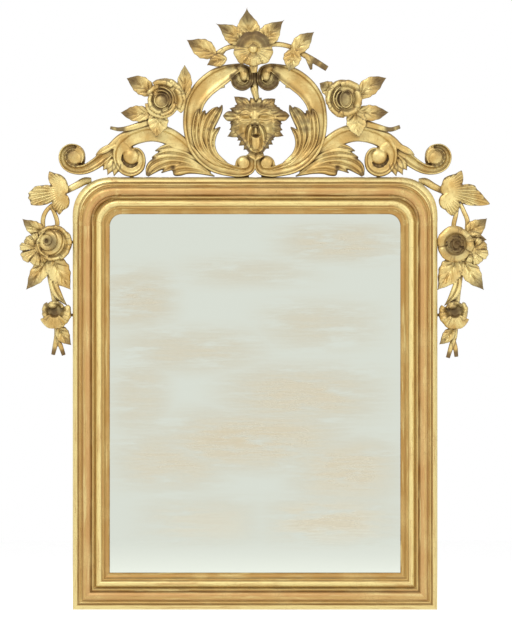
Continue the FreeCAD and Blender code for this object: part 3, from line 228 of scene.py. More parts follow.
def round_plan(angle, radius):
    """Places at angles and radii round a middle."""
    return np.stack([radius * np.cos(angle), radius * np.sin(angle)], axis=-1)


def ball(carving, across_px, down_px, height, half_across, half_up, half_out):
    """An egg-shaped button, its middle at a height in front of the wall; plan sizes are in pixels."""
    lift = np.linspace(-math.pi / 2 + 0.05, math.pi / 2 - 0.05, 18)[:, None]
    around = np.linspace(0, TURN, 36, endpoint=False)[None, :]
    plan = np.stack([np.cos(lift) * np.cos(around) * half_across * PIXEL,
                     np.cos(lift) * np.sin(around) * half_up * PIXEL], axis=-1) + spot(across_px, down_px)
    return carving.rings(loop_points(plan, height + half_out * np.sin(lift) + 0 * around))


def disc(carving, across_px, down_px, radius_px, back, top):
    """A flat, round ground, such as the floor of a volute or of a bowl."""
    around = np.linspace(0, TURN, 48, endpoint=False)
    share = np.array([0.02, 0.97, 1, 1, 0.97, 0.02])[:, None]
    heights = np.array([back, back, back + 1, top - 1, top, top])[:, None]
    plan = round_plan(around, share) * radius_px * PIXEL
    return carving.rings(loop_points(plan + spot(across_px, down_px), heights + 0 * around))


def leaf(carving, base, tip, width, heights, bend=0.0, veins=4, flutes=0, crown=2.4, thick=3.4, widest=0.38,
         blunt=0.8, ruffle=0.0, stalk=0.16, darkness=0.9):
    """One leaf from base to tip in pixels. Heights are those of its base, middle and tip."""
    t = np.linspace(0, 1, 60)[:, None]
    s = np.linspace(-1, 1, 33)[None, :]
    start, line = spot(*base), spot(*tip) - spot(*base)
    left = np.array([-line[1], line[0]])
    middle = start + line * t + left * (4 * bend * t * (1 - t))
    along = line + left * (4 * bend * (1 - 2 * t))
    sideways = np.column_stack([-along[:, 1], along[:, 0]]) / np.linalg.norm(along, axis=1)[:, None]
    power = math.log(0.5) / math.log(widest)
    outline = np.sin(math.pi * t ** power) ** (blunt + 0.5 * t * t)
    uneven = 1 + ruffle * np.cos(TURN * (veins + 0.5) * t + 1.5 * np.sign(s))
    outline = np.maximum(outline * uneven, stalk * (1 - t) + 0.02)
    half = width * PIXEL / 2 * outline
    plan = middle[:, None, :] + sideways[:, None, :] * (half * s)[..., None]
    control = 2 * heights[1] - (heights[0] + heights[2]) / 2
    lift = heights[0] * (1 - t) ** 2 + 2 * control * t * (1 - t) + heights[2] * t ** 2
    fade = np.minimum(1, outline * 1.6)
    cushions = crown * (1 - (2 * np.abs(s) - 1) ** 2) * fade
    relief = cushions - 2.0 * bump(s, 0.09) * fade
    if veins:
        phase = (t - 0.3 * np.abs(s)) * veins
        cut = bump(phase - np.floor(phase) - 0.5, 0.17) * (1 - s ** 4) * rise(np.abs(s), 0.02, 0.2)
        relief = relief - 2.3 * cut * fade
    if flutes:
        relief = relief + 1.5 * np.cos(math.pi * flutes * s) * fade * rise(t, 0.1, 0.45)
    under = lift - thick * (0.75 + 0.25 * (1 - s ** 2)) + 0.35 * cushions
    carving.soil_and_shade(*tip, 0.45 * math.hypot(*line) / PIXEL, darkness)
    # Its edges are darkened: painted shade of the outline, with some dirt.
    carving.soil_and_shade_along(np.concatenate([plan[14::4, 0], plan[14::4, -1]]), 1.1, 0.62)
    return carving.sheet(plan, lift + relief, under)


def palmate(carving, middle, root, outline, height, ribs):
    """A broad leaf of several lobes, smooth by its stalk and ribbed towards the tips."""
    angle = np.linspace(0, TURN, 320, endpoint=False)
    limit = reach_at(angle, np.array(outline) - middle)
    share = np.linspace(0.02, 1, 60)[:, None]
    over, down = share * limit * np.cos(angle), share * limit * np.sin(angle)
    from_root = np.hypot(over + middle[0] - root[0], down + middle[1] - root[1])
    bearing = np.arctan2(down + middle[1] - root[1], np.abs(over + middle[0] - root[0]))
    lift = height + 6 - 3.5 * share ** 2 + 1.6 * np.cos(3 * angle) * share
    ribbed = np.cos(ribs * bearing) * rise(from_root, 11, 27) * (1 - rise(share, 0.93, 1.0))
    front = lift + 1.6 * ribbed - 1.5 * rise(share, 0.9, 1.0)
    plan = np.stack([over, -down], axis=-1) * PIXEL + spot(*middle)
    return carving.slab(plan, front, lift - 5.5)


def reach_at(angle, outline):
    """How far an outline lies from its middle at each angle; both run downwards, as pixels do."""
    reach = np.hypot(outline[:, 0], outline[:, 1])
    bearing = np.arctan2(outline[:, 1], outline[:, 0]) % TURN
    order = np.argsort(bearing)
    return np.interp(angle, bearing[order], reach[order], period=TURN)


def petal(carving, centre, bearing, spread, foot, reach, low, high, fall=8.0, crest=0.62, thick=3.0, flutes=0,
          shoulder=3.0, ruffle=0.6, outlined=True):
    """One petal of a blossom: it rises from its foot, then rolls over to its rim. Plan sizes in pixels."""
    u = np.linspace(-1, 1, 33)[None, :]
    s = np.linspace(0, 1, 30)[:, None]
    limit = 1 - 0.13 * np.abs(u) ** 4 + 0.025 * np.cos(2.5 * math.pi * u + bearing)
    radius = (foot + (reach - foot) * s * limit) * PIXEL
    angle = math.radians(bearing) + math.radians(spread) * u * (0.9 + 0.1 * s)
    beyond = np.clip((s - crest) / (1 - crest), 0, 1)
    height = low + (high - low) * rise(s, 0, crest) - fall * (1 - np.sqrt(1 - 0.97 * beyond ** 2))
    height = height - shoulder * u ** 4 * (0.4 + 0.6 * s)
    height = height + ruffle * np.cos(2.5 * math.pi * u + bearing) * s ** 2
    if flutes:
        height = height + 1.1 * np.cos(TURN * flutes * u) * rise(s, 0.15, 0.5)
    plan = round_plan(angle, radius) + spot(*centre)
    # An outlined petal is darkened along its rim and sides: painted shade of its outline, with some dirt.
    if outlined:
        carving.soil_and_shade_along(np.concatenate([plan[-1, ::4], plan[8::5, 0], plan[8::5, -1]]), 1.0, 0.55)
    return carving.sheet(plan, height, height - thick)


def arc(carving, middle, angles, radii, half, back, depth, squeeze=1.0):
    """A thin rim round a middle, from one angle and radius to another. Plan sizes in pixels."""
    rows = []
    for share in np.linspace(0, 1, 17):
        angle = math.radians(angles[0] + (angles[1] - angles[0]) * share)
        radius = radii[0] + (radii[1] - radii[0]) * share
        taper = min(1.0, 0.3 + 4 * share, 0.3 + 4 * (1 - share))
        rows.append((middle[0] + radius * math.cos(angle), middle[1] - radius * squeeze * math.sin(angle),
                     half * taper))
    return sweep(carving, rows, back, depth, ROUND, 0.4)


def bud(carving, centre, radius, base, top, pit, pitch):
    """A large bud whose petals wind round a pit; the pit's place and the winding's pitch are in pixels."""
    angle = np.linspace(0, TURN, 120, endpoint=False)[None, :]
    share = np.linspace(0.02, 1, 44)[:, None]
    dome = np.sqrt(np.clip(1 - 0.9 * share ** 2, 0, 1))
    over = centre[0] + radius * share * np.cos(angle) - pit[0]
    up = pit[1] - centre[1] + radius * share * np.sin(angle)
    away = np.hypot(over, up)
    winding = (away / pitch - np.arctan2(up, over) / TURN) % 1
    front = base + (top - base) * dome + 4.6 * winding * rise(away, 0.5, 3) - 5 * bump(away, 2.4)
    front = front - 2.4 * bump(np.minimum(winding, 1 - winding), 0.12)
    plan = round_plan(angle, share) * radius * PIXEL + spot(*centre)
    return carving.slab(plan, front, base - 4)


# Roses: a petal that rises beyond this share of the depth is an upper one, and only those have dark
# edges, painted shade of their outlines with some dirt; by how many degrees petals run under their
# neighbours; and where a lower petal starts, as a share of the depth.
UPPER_SHARE = 0.55
OVERLAP = 5
LOWER_FOOT = 0.2


def rose(carving, base, bowl, heart, petals, rims, floor=0.42, crest=0.68):
    """A full-blown rose: rolled petals round a bowl, with thin rims inside it."""
    disc(carving, *bowl, base - 2, base + floor * BLOOM_DEPTH)
    for bearing, spread, foot, reach, share in petals:
        high = share * BLOOM_DEPTH
        upper = share > UPPER_SHARE
        low = 0.5 * high if upper else LOWER_FOOT * BLOOM_DEPTH
        petal(carving, heart, bearing, spread + OVERLAP, foot, reach, base + low, base + high,
              fall=0.38 * high, crest=crest, thick=0.45 * high, shoulder=3.2, ruffle=0.7, outlined=upper)
    for start, end, first, last in rims:
        arc(carving, heart, (start, end), (first, last), 1.3, base, 0.66 * BLOOM_DEPTH)
    # Painted shade in the bowl.
    carving.soil_and_shade(*bowl[:2], 0.75 * bowl[2], 0.65)
    return carving


def cupped_bud(carving, heart, across, up, base):
    """A soft bud in a thin rim, with painted shade in the fold at its head."""
    ball(carving, heart[0] - 0.2, heart[1] + 0.3, base + 0.42 * BLOOM_DEPTH, 0.96 * across, 0.96 * up,
         0.27 * BLOOM_DEPTH)
    arc(carving, heart, (110, 475), (across, across), 1.1, base, 0.72 * BLOOM_DEPTH, up / across)
    # Painted shade in the fold at the bud's head.
    carving.soil_and_shade(heart[0] + 0.4 * across, heart[1] - 0.8 * up, 0.6 * across, 1.0)
    return carving


# The mask's body in pixels, clockwise from the upper left, and the middle it is worked round.
MASK_MIDDLE = (255.8, 126.0)
MASK_OUTLINE = (
    (240, 102.4), (247.6, 100.4), (256, 99.8), (265.9, 100.2), (272, 102.4), (277, 106), (281, 110.6),
    (281.6, 117), (280.8, 124), (280.6, 130), (276, 135.4), (271.4, 140), (268.2, 145), (265, 150),
    (262, 153.8), (256, 155), (250.2, 153.8), (246.8, 150), (243.8, 145), (240.6, 140), (235.4, 135.4),
    (231.4, 130), (230.6, 124), (230.4, 117), (231.4, 110.6), (235.2, 106))
# Locks, horns and whiskers round it: base, tip, width, and heights at base and tip.
MASK_LOCKS = (
    ((246, 105.6), (233.8, 96.2), 8.5, 33, 31), ((249, 105), (241.6, 96.6), 6.5, 34, 30),
    ((254, 104), (250.2, 97), 5, 34, 29), ((258, 104), (261.4, 97), 5, 34, 29),
    ((263, 105), (268.8, 98), 6.5, 34, 30), ((266, 106), (275.6, 98.4), 8.5, 33, 31),
    ((248, 108), (234, 105.2), 6, 37, 29), ((245, 111), (229, 108.2), 6.5, 36, 27),
    ((243, 112), (231, 110.6), 5, 36, 28), ((265, 107), (277.4, 105.2), 6, 37, 29),
    ((268, 111), (283.6, 110.2), 6.5, 36, 27), ((268, 109), (280.6, 107.6), 5, 36, 28),
    ((272, 122), (282.6, 123.6), 6, 32, 25), ((272, 127), (283, 129.8), 6.5, 32, 24),
    ((268, 130), (284, 135.8), 8, 32, 24), ((240, 121), (229.4, 123.2), 6, 32, 25),
    ((240, 126), (229, 129.6), 6.5, 32, 24), ((244, 129), (227, 136.4), 9, 32, 24),
    ((247, 134), (237, 140.4), 6, 31, 22), ((249, 138), (238.4, 145.6), 6.5, 30, 21),
    ((251, 142), (243.4, 149.8), 6.5, 28, 20), ((264, 135), (274.4, 140), 6, 31, 22),
    ((263, 138), (273.2, 144.4), 6.5, 30, 21), ((262, 142), (269.4, 148.6), 6.5, 28, 20))
MASK_EARS = (((238, 116.6), (222.8, 115.8)), ((273.6, 116.6), (289.8, 115.6)))
# The leaf under its chin: base, tip, width and heights.
CHIN_LEAF = ((256, 150.6), (255.9, 161.4), 16, (26, 33, 36))
# Where the mask is dark, with radius and strength: hair, ears, nose, mouth, beard and the face's sides;
# under the nose, in the mouth and along the face's sides this is painted shade.
MASK_DARK_SPOTS = (
    (255, 124.6, 2.6, 0.8), (251, 124.4, 2.2, 0.6), (259.2, 124.4, 2.2, 0.6), (255.8, 135.6, 2.0, 0.6),
    (239.6, 137, 5, 0.6), (271.6, 137, 5, 0.6), (242, 145, 3.6, 0.6), (269.6, 145, 3.6, 0.6),
    (233.6, 122, 4.6, 0.5), (235.6, 130, 4.6, 0.5), (278, 122, 4.6, 0.5), (276, 130, 4.6, 0.5),
    (246.6, 149, 3.4, 0.5), (265.6, 149, 3.4, 0.5))
# The face's oval: half width and half height in pixels, and how far it swells in millimetres.
FACE_HALF, FACE_SWELL = (26.0, 30.0), 19
# Raised and sunk lines of the face: height in millimetres, half breadth and the points they run through in
# pixels.
FACE_LINES = (
    (3.8, 1.4, (238.6, 114.4), (242, 111.8), (246, 110.7), (250.2, 112.6)),
    (3.6, 1.2, (258.6, 113), (262, 110.4), (266.4, 108.9), (271.6, 110.2)),
    (2.4, 0.9, (259, 114.9), (263, 112.8), (267.6, 111.9), (273, 112.8)),
    (-2.8, 0.7, (239.8, 115.8), (243.6, 114.2), (248.2, 114.6), (250.8, 118)),
    (-2.6, 0.7, (258.8, 117.6), (260.4, 115.4), (265, 113.8), (271.6, 115.4)),
    (2.0, 1.0, (239.6, 120.4), (244.4, 122), (249.6, 120.8)),
    (2.0, 1.0, (260.2, 120.8), (265, 121.8), (271, 120.2)),
    (-2.2, 0.9, (238.8, 122.2), (245, 124), (250, 122.6)),
    (-2.2, 0.9, (260, 122.6), (265.6, 124.2), (272, 122.2)),
    (7.0, 3.3, (254.9, 111), (254.9, 115), (254.9, 120.6)),
    (-3.2, 1.0, (249.4, 124.8), (247.4, 128), (246.6, 133), (246.2, 139.5)),
    (-3.2, 1.0, (260.6, 124.8), (263.4, 128), (265.2, 133), (265.8, 139.5)),
    (6.4, 1.7, (251, 126.6), (249, 132), (248, 138.6), (248.6, 144), (250.4, 149), (253.4, 152),
     (256.4, 152.8), (259.6, 151.8), (262.4, 148.4), (263.8, 143), (263.8, 138), (262.4, 132),
     (259.4, 126.6)),
    (-2.4, 1.0, (232, 113.6), (239, 109.6), (248, 108), (255.5, 109), (262, 107), (270, 106.9),
     (279, 112.4)))
# Mounds and hollows of the face: height, place, half width and half height.
FACE_MOUNDS = (
    (-1.2, 245, 118.6, 6.4, 3.6), (-1.2, 265.2, 118.2, 6.4, 3.6), (10, 245.8, 116, 4.8, 2.4),
    (10, 264.6, 115.4, 4.8, 2.3), (6.5, 254.5, 122.4, 4.0, 2.2), (4.8, 250.4, 123.6, 2.1, 1.7),
    (4.8, 258.9, 123.6, 2.1, 1.7), (-7.0, 252.2, 125.7, 1.3, 0.9), (-7.0, 257.2, 125.7, 1.3, 0.9),
    (11.5, 243.2, 129, 3.8, 4.8), (11.5, 268, 128.7, 3.9, 4.8))
# Half width of the open mouth at points from the nose down to the lower lip, in pixels.
MOUTH_DOWN = (126, 127.5, 131, 136, 140, 145, 148.6, 150.8)
MOUTH_HALF = (2.0, 3.4, 4.4, 5.6, 6.8, 6.5, 4.6, 0.4)
MOUTH_MIDDLE = 255.8


def away_from_line(x, y, points):
    """Distance of places from a line through points, all in pixels."""
    path = smooth_path(points, 0.8)
    found = np.full(x.shape, np.inf)
    for start, end in zip(path[:-1], path[1:]):
        run = end - start
        share = np.clip(((x - start[0]) * run[0] + (y - start[1]) * run[1]) / (run @ run), 0, 1)
        found = np.minimum(found, np.hypot(x - start[0] - share * run[0], y - start[1] - share * run[1]))
    return found


def mask_heights(x, y):
    """Relief of the mask's face above its ground at places given in pixels."""
    over, down = x - MASK_MIDDLE[0], y - MASK_MIDDLE[1]
    oval = (over / FACE_HALF[0]) ** 2 + (down / FACE_HALF[1]) ** 2
    angle = np.arctan2(down - 2, over)
    height = FACE_SWELL * (1 - np.clip(oval, 0, 1) ** 1.5) ** 0.62
    strands = 1.6 * np.cos(36 * angle) + 0.9 * np.cos(13 * angle + 1)
    height = height + strands * np.maximum(rise(oval, 0.42, 0.62), 1 - rise(y, 106, 109))
    for amount, breadth, *points in FACE_LINES:
        height = height + amount * bump(away_from_line(x, y, points), breadth)
    for amount, across, low, wide, tall in FACE_MOUNDS:
        height = height + amount * np.exp(-((x - across) / wide) ** 2 - ((y - low) / tall) ** 2)
    inward = x - MOUTH_MIDDLE
    away = np.abs(inward) / np.interp(y, MOUTH_DOWN, MOUTH_HALF)
    hole = (1 - rise(away, 0.72, 1.0)) * rise(y, 126, 127.4) * (1 - rise(y, 149.6, 151))
    tongue = 11 * np.sqrt(np.clip(1 - (inward / 6.6) ** 2 - (np.clip(y - 144.6, 0, 9) / 6.4) ** 2, 0, 1))
    tongue = tongue * rise(y + 0.1 * inward ** 2, 135.8, 138.4)
    tongue = tongue - 1.4 * bump(inward, 0.9) * rise(y, 139, 143)
    uvula = 5.5 * bump(inward, 2.2) * rise(y, 126, 128.4) * (1 - rise(y, 133.4, 135.4))
    return height * (1 - hole) + (6.5 + 6.5 * (1 - rise(y, 134, 137)) + tongue + uvula) * hole


# The hairline's dirt: its ends, step and middle in pixels, how low it starts there and how fast it drops.
HAIR_ACROSS = (232, 282, 3)
HAIR_MIDDLE, HAIR_DOWN, HAIR_DROP = 256, 105.4, 0.008


def mask():
    """The grotesque mask: a face worked round its middle, with locks, horns, ears and whiskers."""
    carving = Carving()
    angle = np.linspace(0, TURN, 480, endpoint=False)
    limit = reach_at(angle, np.array(MASK_OUTLINE) - MASK_MIDDLE)
    share = np.linspace(0.01, 1, 100)[:, None]
    x = MASK_MIDDLE[0] + share * limit * np.cos(angle)
    y = MASK_MIDDLE[1] + share * limit * np.sin(angle)
    inside = (1 - share) * limit
    front = MASK_BACK + MASK_EDGE + (MASK_GROUND - MASK_EDGE) * rise(inside, -0.2, 3.0)
    carving.slab(spot(x, y), front + mask_heights(x, y) * rise(inside, 0, 3), MASK_BACK)
    for base, tip, width, low, high in MASK_LOCKS:
        heights = (low, (low + high) / 2 + 2, high)
        leaf(carving, base, tip, width, heights, veins=0, flutes=1, crown=1.6, thick=8, widest=0.45,
             stalk=0.5)
    for base, tip in MASK_EARS:
        leaf(carving, base, tip, 10.4, (33, 37, 33), veins=0, crown=2.6, thick=8, widest=0.56, blunt=0.5,
             stalk=0.7, darkness=0.7)
        carving.soil_and_shade((base[0] + tip[0]) / 2, base[1] - 4.4, 4, 0.75)
    leaf(carving, *CHIN_LEAF, veins=0, crown=1.4, thick=10, widest=0.36, blunt=0.7, darkness=0.3)
    # Dark spots: painted shade under the nose, in the mouth and along the face's sides, and a darker beard.
    for mark in MASK_DARK_SPOTS:
        carving.soil_and_shade(*mark)
    for across in range(*HAIR_ACROSS):
        carving.soil_and_shade(across, HAIR_DOWN + HAIR_DROP * (across - HAIR_MIDDLE) ** 2, 3.8, 0.66)
    return carving


# Looks.

def srgb(red, green, blue):
    """A colour as it shows on a screen, from 0 to 255, as the shader's own values."""
    parts = [value / 255 for value in (red, green, blue)]
    return [part / 12.92 if part <= 0.04045 else ((part + 0.055) / 1.055) ** 2.4 for part in parts] + [1]


class Nodes:
    """A node tree's nodes, added one after another."""

    def __init__(self, tree):
        self.tree = tree

    def node(self, kind, settings=None, **inputs):
        """Adds a node; an input's name is written with lines for its spaces."""
        made = self.tree.nodes.new(kind)
        for name, value in (settings or {}).items():
            setattr(made, name, value)
        for name, value in inputs.items():
            self.put(made.inputs[name.replace("_", " ")], value)
        return made

    def put(self, socket, value):
        """Gives an input a value, or links it to an output."""
        if isinstance(value, bpy.types.NodeSocket):
            self.tree.links.new(value, socket)
        else:
            socket.default_value = value

    def maths(self, operation, first, second=0.0):
        made = self.node("ShaderNodeMath", {"operation": operation, "use_clamp": operation != "SUBTRACT"})
        self.put(made.inputs[0], first)
        self.put(made.inputs[1], second)
        return made.outputs[0]

    def times(self, first, second):
        return self.maths("MULTIPLY", first, second)

    def most(self, first, second):
        return self.maths("MAXIMUM", first, second)

    def less(self, first, second):
        return self.maths("SUBTRACT", first, second)

    def span(self, value, low, high, bottom=0.0, top=1.0):
        """A smooth step from bottom, where the value is low, to top, where it is high."""
        made = self.node("ShaderNodeMapRange", {"interpolation_type": "SMOOTHSTEP"}, Value=value)
        for index, number in enumerate((low, high, bottom, top), start=1):
            made.inputs[index].default_value = number
        return made.outputs[0]

    def seen(self):
        """One for rays from the lens, straight or by way of a mirror or glass; nought for others."""
        path = self.node("ShaderNodeLightPath").outputs
        return self.most(path["Is Camera Ray"], self.most(path["Is Glossy Ray"], path["Is Transmission Ray"]))


class Look(Nodes):
    """A material's nodes."""

    def __init__(self, name):
        self.material = bpy.data.materials.new(name)
        self.material.use_nodes = True
        super().__init__(self.material.node_tree)
        self.shader = self.tree.nodes["Principled BSDF"]
        self.place = self.node("ShaderNodeTexCoord").outputs["Object"]

    def set(self, **inputs):
        """Sets the shader's own inputs."""
        for name, value in inputs.items():
            self.put(self.shader.inputs[name.replace("_", " ")], value)

    def mix(self, share, first, second):
        made = self.node("ShaderNodeMix", {"data_type": "RGBA"})
        self.put(made.inputs[0], share)
        self.put(made.inputs[6], first)
        self.put(made.inputs[7], second)
        return made.outputs[2]

    def stretched(self, scale):
        return self.node("ShaderNodeMapping", Vector=self.place, Scale=scale).outputs[0]

    def noise(self, scale, detail=4.0, rough=0.55, where=None):
        return self.node("ShaderNodeTexNoise", Vector=where or self.place, Scale=scale, Detail=detail,
                         Roughness=rough).outputs["Fac"]

    def bumped(self, height, strength, distance):
        made = self.node("ShaderNodeBump", Height=height, Strength=strength, Distance=distance)
        self.put(self.shader.inputs["Normal"], made.outputs[0])

    def axis(self, letter):
        return self.node("ShaderNodeSeparateXYZ", Vector=self.place).outputs[letter]

    def facing(self, letter):
        """How far a surface faces along an axis."""
        normal = self.node("ShaderNodeNewGeometry").outputs["Normal"]
        return self.node("ShaderNodeSeparateXYZ", Vector=normal).outputs[letter]

    def bared(self, colour):
        """The colour with bare, dusty wood on what faces the wall."""
        grain = self.noise(1.0, 5.0, 0.6, self.stretched((30.0, 30.0, 160.0)))
        wood = self.mix(grain, WOOD, PALE_WOOD)
        return self.mix(self.span(self.facing("Y"), 0.25, 0.6), colour, wood)

    def hollow(self, reach):
        """How deep a spot lies in a groove: 1 in the deepest."""
        clear = self.node("ShaderNodeAmbientOcclusion", {"samples": 8}, Distance=reach).outputs["AO"]
        return self.less(1.0, clear)


PALE_GOLD = srgb(240, 219, 148)
WARM_GOLD = srgb(207, 171, 99)
DEEP_GOLD = srgb(174, 132, 62)
ROSE_GOLD = srgb(204, 158, 97)
OCHRE = srgb(184, 143, 75)
BOLE = srgb(188, 120, 72)
SHADE_AND_DIRT_BROWN = srgb(90, 60, 22)
FRAME_BROWN = srgb(140, 98, 38)
DUST = srgb(140, 113, 72)
DARK_DUST_AND_SHADE = srgb(98, 74, 42)
WOOD, PALE_WOOD, STAIN = srgb(124, 94, 62), srgb(172, 138, 98), srgb(70, 52, 36)
SILVER, HAZE, SPECK = srgb(217, 222, 211), srgb(208, 198, 172), srgb(110, 100, 84)
IRON, RUST = srgb(58, 54, 50), srgb(104, 62, 36)
FRAME_BREADTH = 0.074
# Tints of the moulding from its outer edge to the glass: distance in millimetres, and colour; the dark
# last stops by the glass are a painted shadow of the gap between moulding and glass.
MOULDING_TINTS = (
    (0, PALE_GOLD), (8, PALE_GOLD), (10, OCHRE), (13, WARM_GOLD), (16, WARM_GOLD), (18.5, OCHRE),
    (22, ROSE_GOLD), (24, WARM_GOLD), (28, ROSE_GOLD), (33, ROSE_GOLD), (36, FRAME_BROWN),
    (39, FRAME_BROWN), (40.5, WARM_GOLD), (42, PALE_GOLD), (45, WARM_GOLD), (48, PALE_GOLD),
    (56, PALE_GOLD), (59, OCHRE), (62, WARM_GOLD), (65.5, DEEP_GOLD), (68, OCHRE), (71, OCHRE),
    (72.6, DEEP_GOLD), (74, SHADE_AND_DIRT_BROWN))


def carved_gilding():
    """Worn leaf over red bole, dusty where the carving faces up, with painted shade in its grooves and on its
    sides.
    """
    look = Look("carved_gilding")
    cloud = look.noise(26.0, 5.0)
    colour = look.mix(look.span(cloud, 0.36, 0.66), WARM_GOLD, PALE_GOLD)
    grain = look.noise(210.0, 3.0, 0.6)
    colour = look.mix(look.span(grain, 0.5, 0.74, 0.0, 0.4), colour, DEEP_GOLD)
    edge = look.node("ShaderNodeNewGeometry").outputs["Pointiness"]
    colour = look.mix(look.span(edge, 0.52, 0.6, 0.0, 0.7), colour, PALE_GOLD)
    patches = look.noise(60.0, 5.0, 0.6)
    worn = look.times(look.span(edge, 0.5, 0.6), look.span(patches, 0.58, 0.7, 0.0, 0.8))
    colour = look.mix(worn, colour, BOLE)
    # Painted shade, with some dirt in the grooves: brown in grooves and pits, and where one layer lies close
    # behind another.
    groove = look.span(look.hollow(0.008), 0.1, 0.65)
    behind = look.span(look.hollow(0.03), 0.35, 0.85, 0.0, 0.8)
    pit = look.span(edge, 0.495, 0.43, 0.0, 0.8)
    shade = look.most(look.most(groove, behind), pit)
    colour = look.mix(look.times(shade, 0.9), colour, SHADE_AND_DIRT_BROWN)
    high = look.span(look.axis("Z"), 0.06, 0.34, 0.5, 1.0)
    settled = look.times(look.span(look.facing("Z"), 0.05, 0.7), high)
    settled = look.times(settled, look.span(look.noise(38.0, 4.0), 0.22, 0.6, 0.45, 1.0))
    colour = look.mix(look.times(settled, 0.8), colour, look.mix(cloud, DUST, DARK_DUST_AND_SHADE))
    # Marked spots are darkened: dirt, as on leaf tips, and painted shade in hollows, bowls, throats and along
    # outlines.
    dirt_and_shade = look.node("ShaderNodeAttribute", {"attribute_name": "dirt_and_shade"}).outputs["Fac"]
    dirt_and_shade = look.times(dirt_and_shade, look.span(look.noise(55.0, 5.0), 0.25, 0.6, 0.65, 1.0))
    dirt_and_shade = look.span(dirt_and_shade, 0.1, 0.75)
    colour = look.mix(look.times(dirt_and_shade, 0.85), colour, DARK_DUST_AND_SHADE)
    # Surfaces turned sideways to the front are browned: painted shade of the outlines, partly unburnished
    # sides.
    side = look.span(look.maths("ABSOLUTE", look.facing("Y")), 0.5, 0.12, 0.0, 0.85)
    colour = look.mix(side, colour, SHADE_AND_DIRT_BROWN)
    dull = look.most(look.most(settled, dirt_and_shade), side)
    look.set(Base_Color=look.bared(colour), Metallic=look.span(dull, 0.0, 0.8, 0.5, 0.05),
             Roughness=look.span(look.most(dull, shade), 0.0, 0.9, 0.38, 0.7))
    look.bumped(look.noise(160.0, 6.0, 0.65), 0.25, 0.0012)
    return look.material


def frame_gilding(name, stretch, across):
    """Gilding on the moulding: pale on bands and beads, rosy where it is worn, with painted shade and some
    dirt in the grooves.
    """
    look = Look(name)
    streak = look.noise(1.0, 5.0, 0.6, look.stretched(stretch))
    cloud = look.noise(14.0, 5.0)
    ramp = look.node("ShaderNodeValToRGB", Fac=look.maths("DIVIDE", across(look), FRAME_BREADTH))
    stops = ramp.color_ramp.elements
    while len(stops) < len(MOULDING_TINTS):
        stops.new(1.0)
    for stop, (distance, tint) in zip(stops, MOULDING_TINTS):
        stop.position = distance * MM / FRAME_BREADTH
        stop.color = tint
    colour = ramp.outputs["Color"]
    colour = look.mix(look.span(cloud, 0.4, 0.7, 0.0, 0.3), colour, PALE_GOLD)
    colour = look.mix(look.span(streak, 0.5, 0.7, 0.0, 0.6), colour, ROSE_GOLD)
    colour = look.mix(look.span(streak, 0.46, 0.3, 0.0, 0.6), colour, PALE_GOLD)
    fine = look.noise(1.0, 6.0, 0.7, look.stretched([4 * part for part in stretch]))
    colour = look.mix(look.span(fine, 0.52, 0.7, 0.0, 0.6), colour, DEEP_GOLD)
    # Painted shade, with some dirt, in the grooves.
    groove = look.span(look.hollow(0.006), 0.25, 0.85, 0.0, 0.4)
    colour = look.mix(groove, colour, FRAME_BROWN)
    crack = look.node("ShaderNodeTexVoronoi", {"feature": "DISTANCE_TO_EDGE"}, Vector=look.place, Scale=95.0)
    fissures = look.span(crack.outputs["Distance"], 0.03, 0.0)
    crackle = look.times(fissures, look.span(cloud, 0.45, 0.6, 0.0, 0.4))
    colour = look.mix(crackle, colour, FRAME_BROWN)
    settled = look.span(look.facing("Z"), 0.35, 0.95)
    settled = look.times(settled, look.span(look.noise(30.0), 0.3, 0.65, 0.2, 0.7))
    colour = look.mix(settled, colour, DUST)
    dull = look.most(settled, groove)
    look.set(Base_Color=look.bared(colour), Metallic=look.span(dull, 0.0, 1.0, 0.45, 0.15),
             Roughness=look.span(streak, 0.3, 0.7, 0.34, 0.52))
    look.bumped(look.noise(120.0, 6.0, 0.6), 0.2, 0.0008)
    return look.material


# How far a spot of each member of the frame lies from the frame's outer edge, in metres.
HALF_WIDTH, FRAME_TOP, FRAME_FOOT, CORNER = 0.365, 0.031, -0.835, 0.098


def from_side(look):
    return look.less(HALF_WIDTH, look.maths("ABSOLUTE", look.axis("X")))


def from_top(look):
    return look.less(FRAME_TOP, look.axis("Z"))


def from_foot(look):
    return look.less(look.axis("Z"), FRAME_FOOT)


def from_round_corner(look):
    beside = look.less(look.maths("ABSOLUTE", look.axis("X")), HALF_WIDTH - CORNER)
    above = look.less(look.axis("Z"), FRAME_TOP - CORNER)
    squares = look.maths("ADD", look.times(beside, beside), look.times(above, above))
    return look.less(CORNER, look.maths("SQRT", squares))


# Hazed patches of the silvering: middle and half sizes in pixels, and strength.
HAZE_PX = (
    (138, 298, 44, 34, 0.85), (340, 243, 72, 22, 0.85), (250, 272, 80, 18, 0.5), (190, 350, 90, 26, 0.7),
    (300, 395, 92, 34, 0.9), (250, 440, 110, 34, 1.0), (345, 470, 62, 36, 0.9), (170, 460, 66, 34, 0.8),
    (330, 520, 72, 26, 0.85), (140, 395, 36, 50, 0.6), (320, 325, 70, 28, 0.65), (200, 520, 70, 26, 0.55))


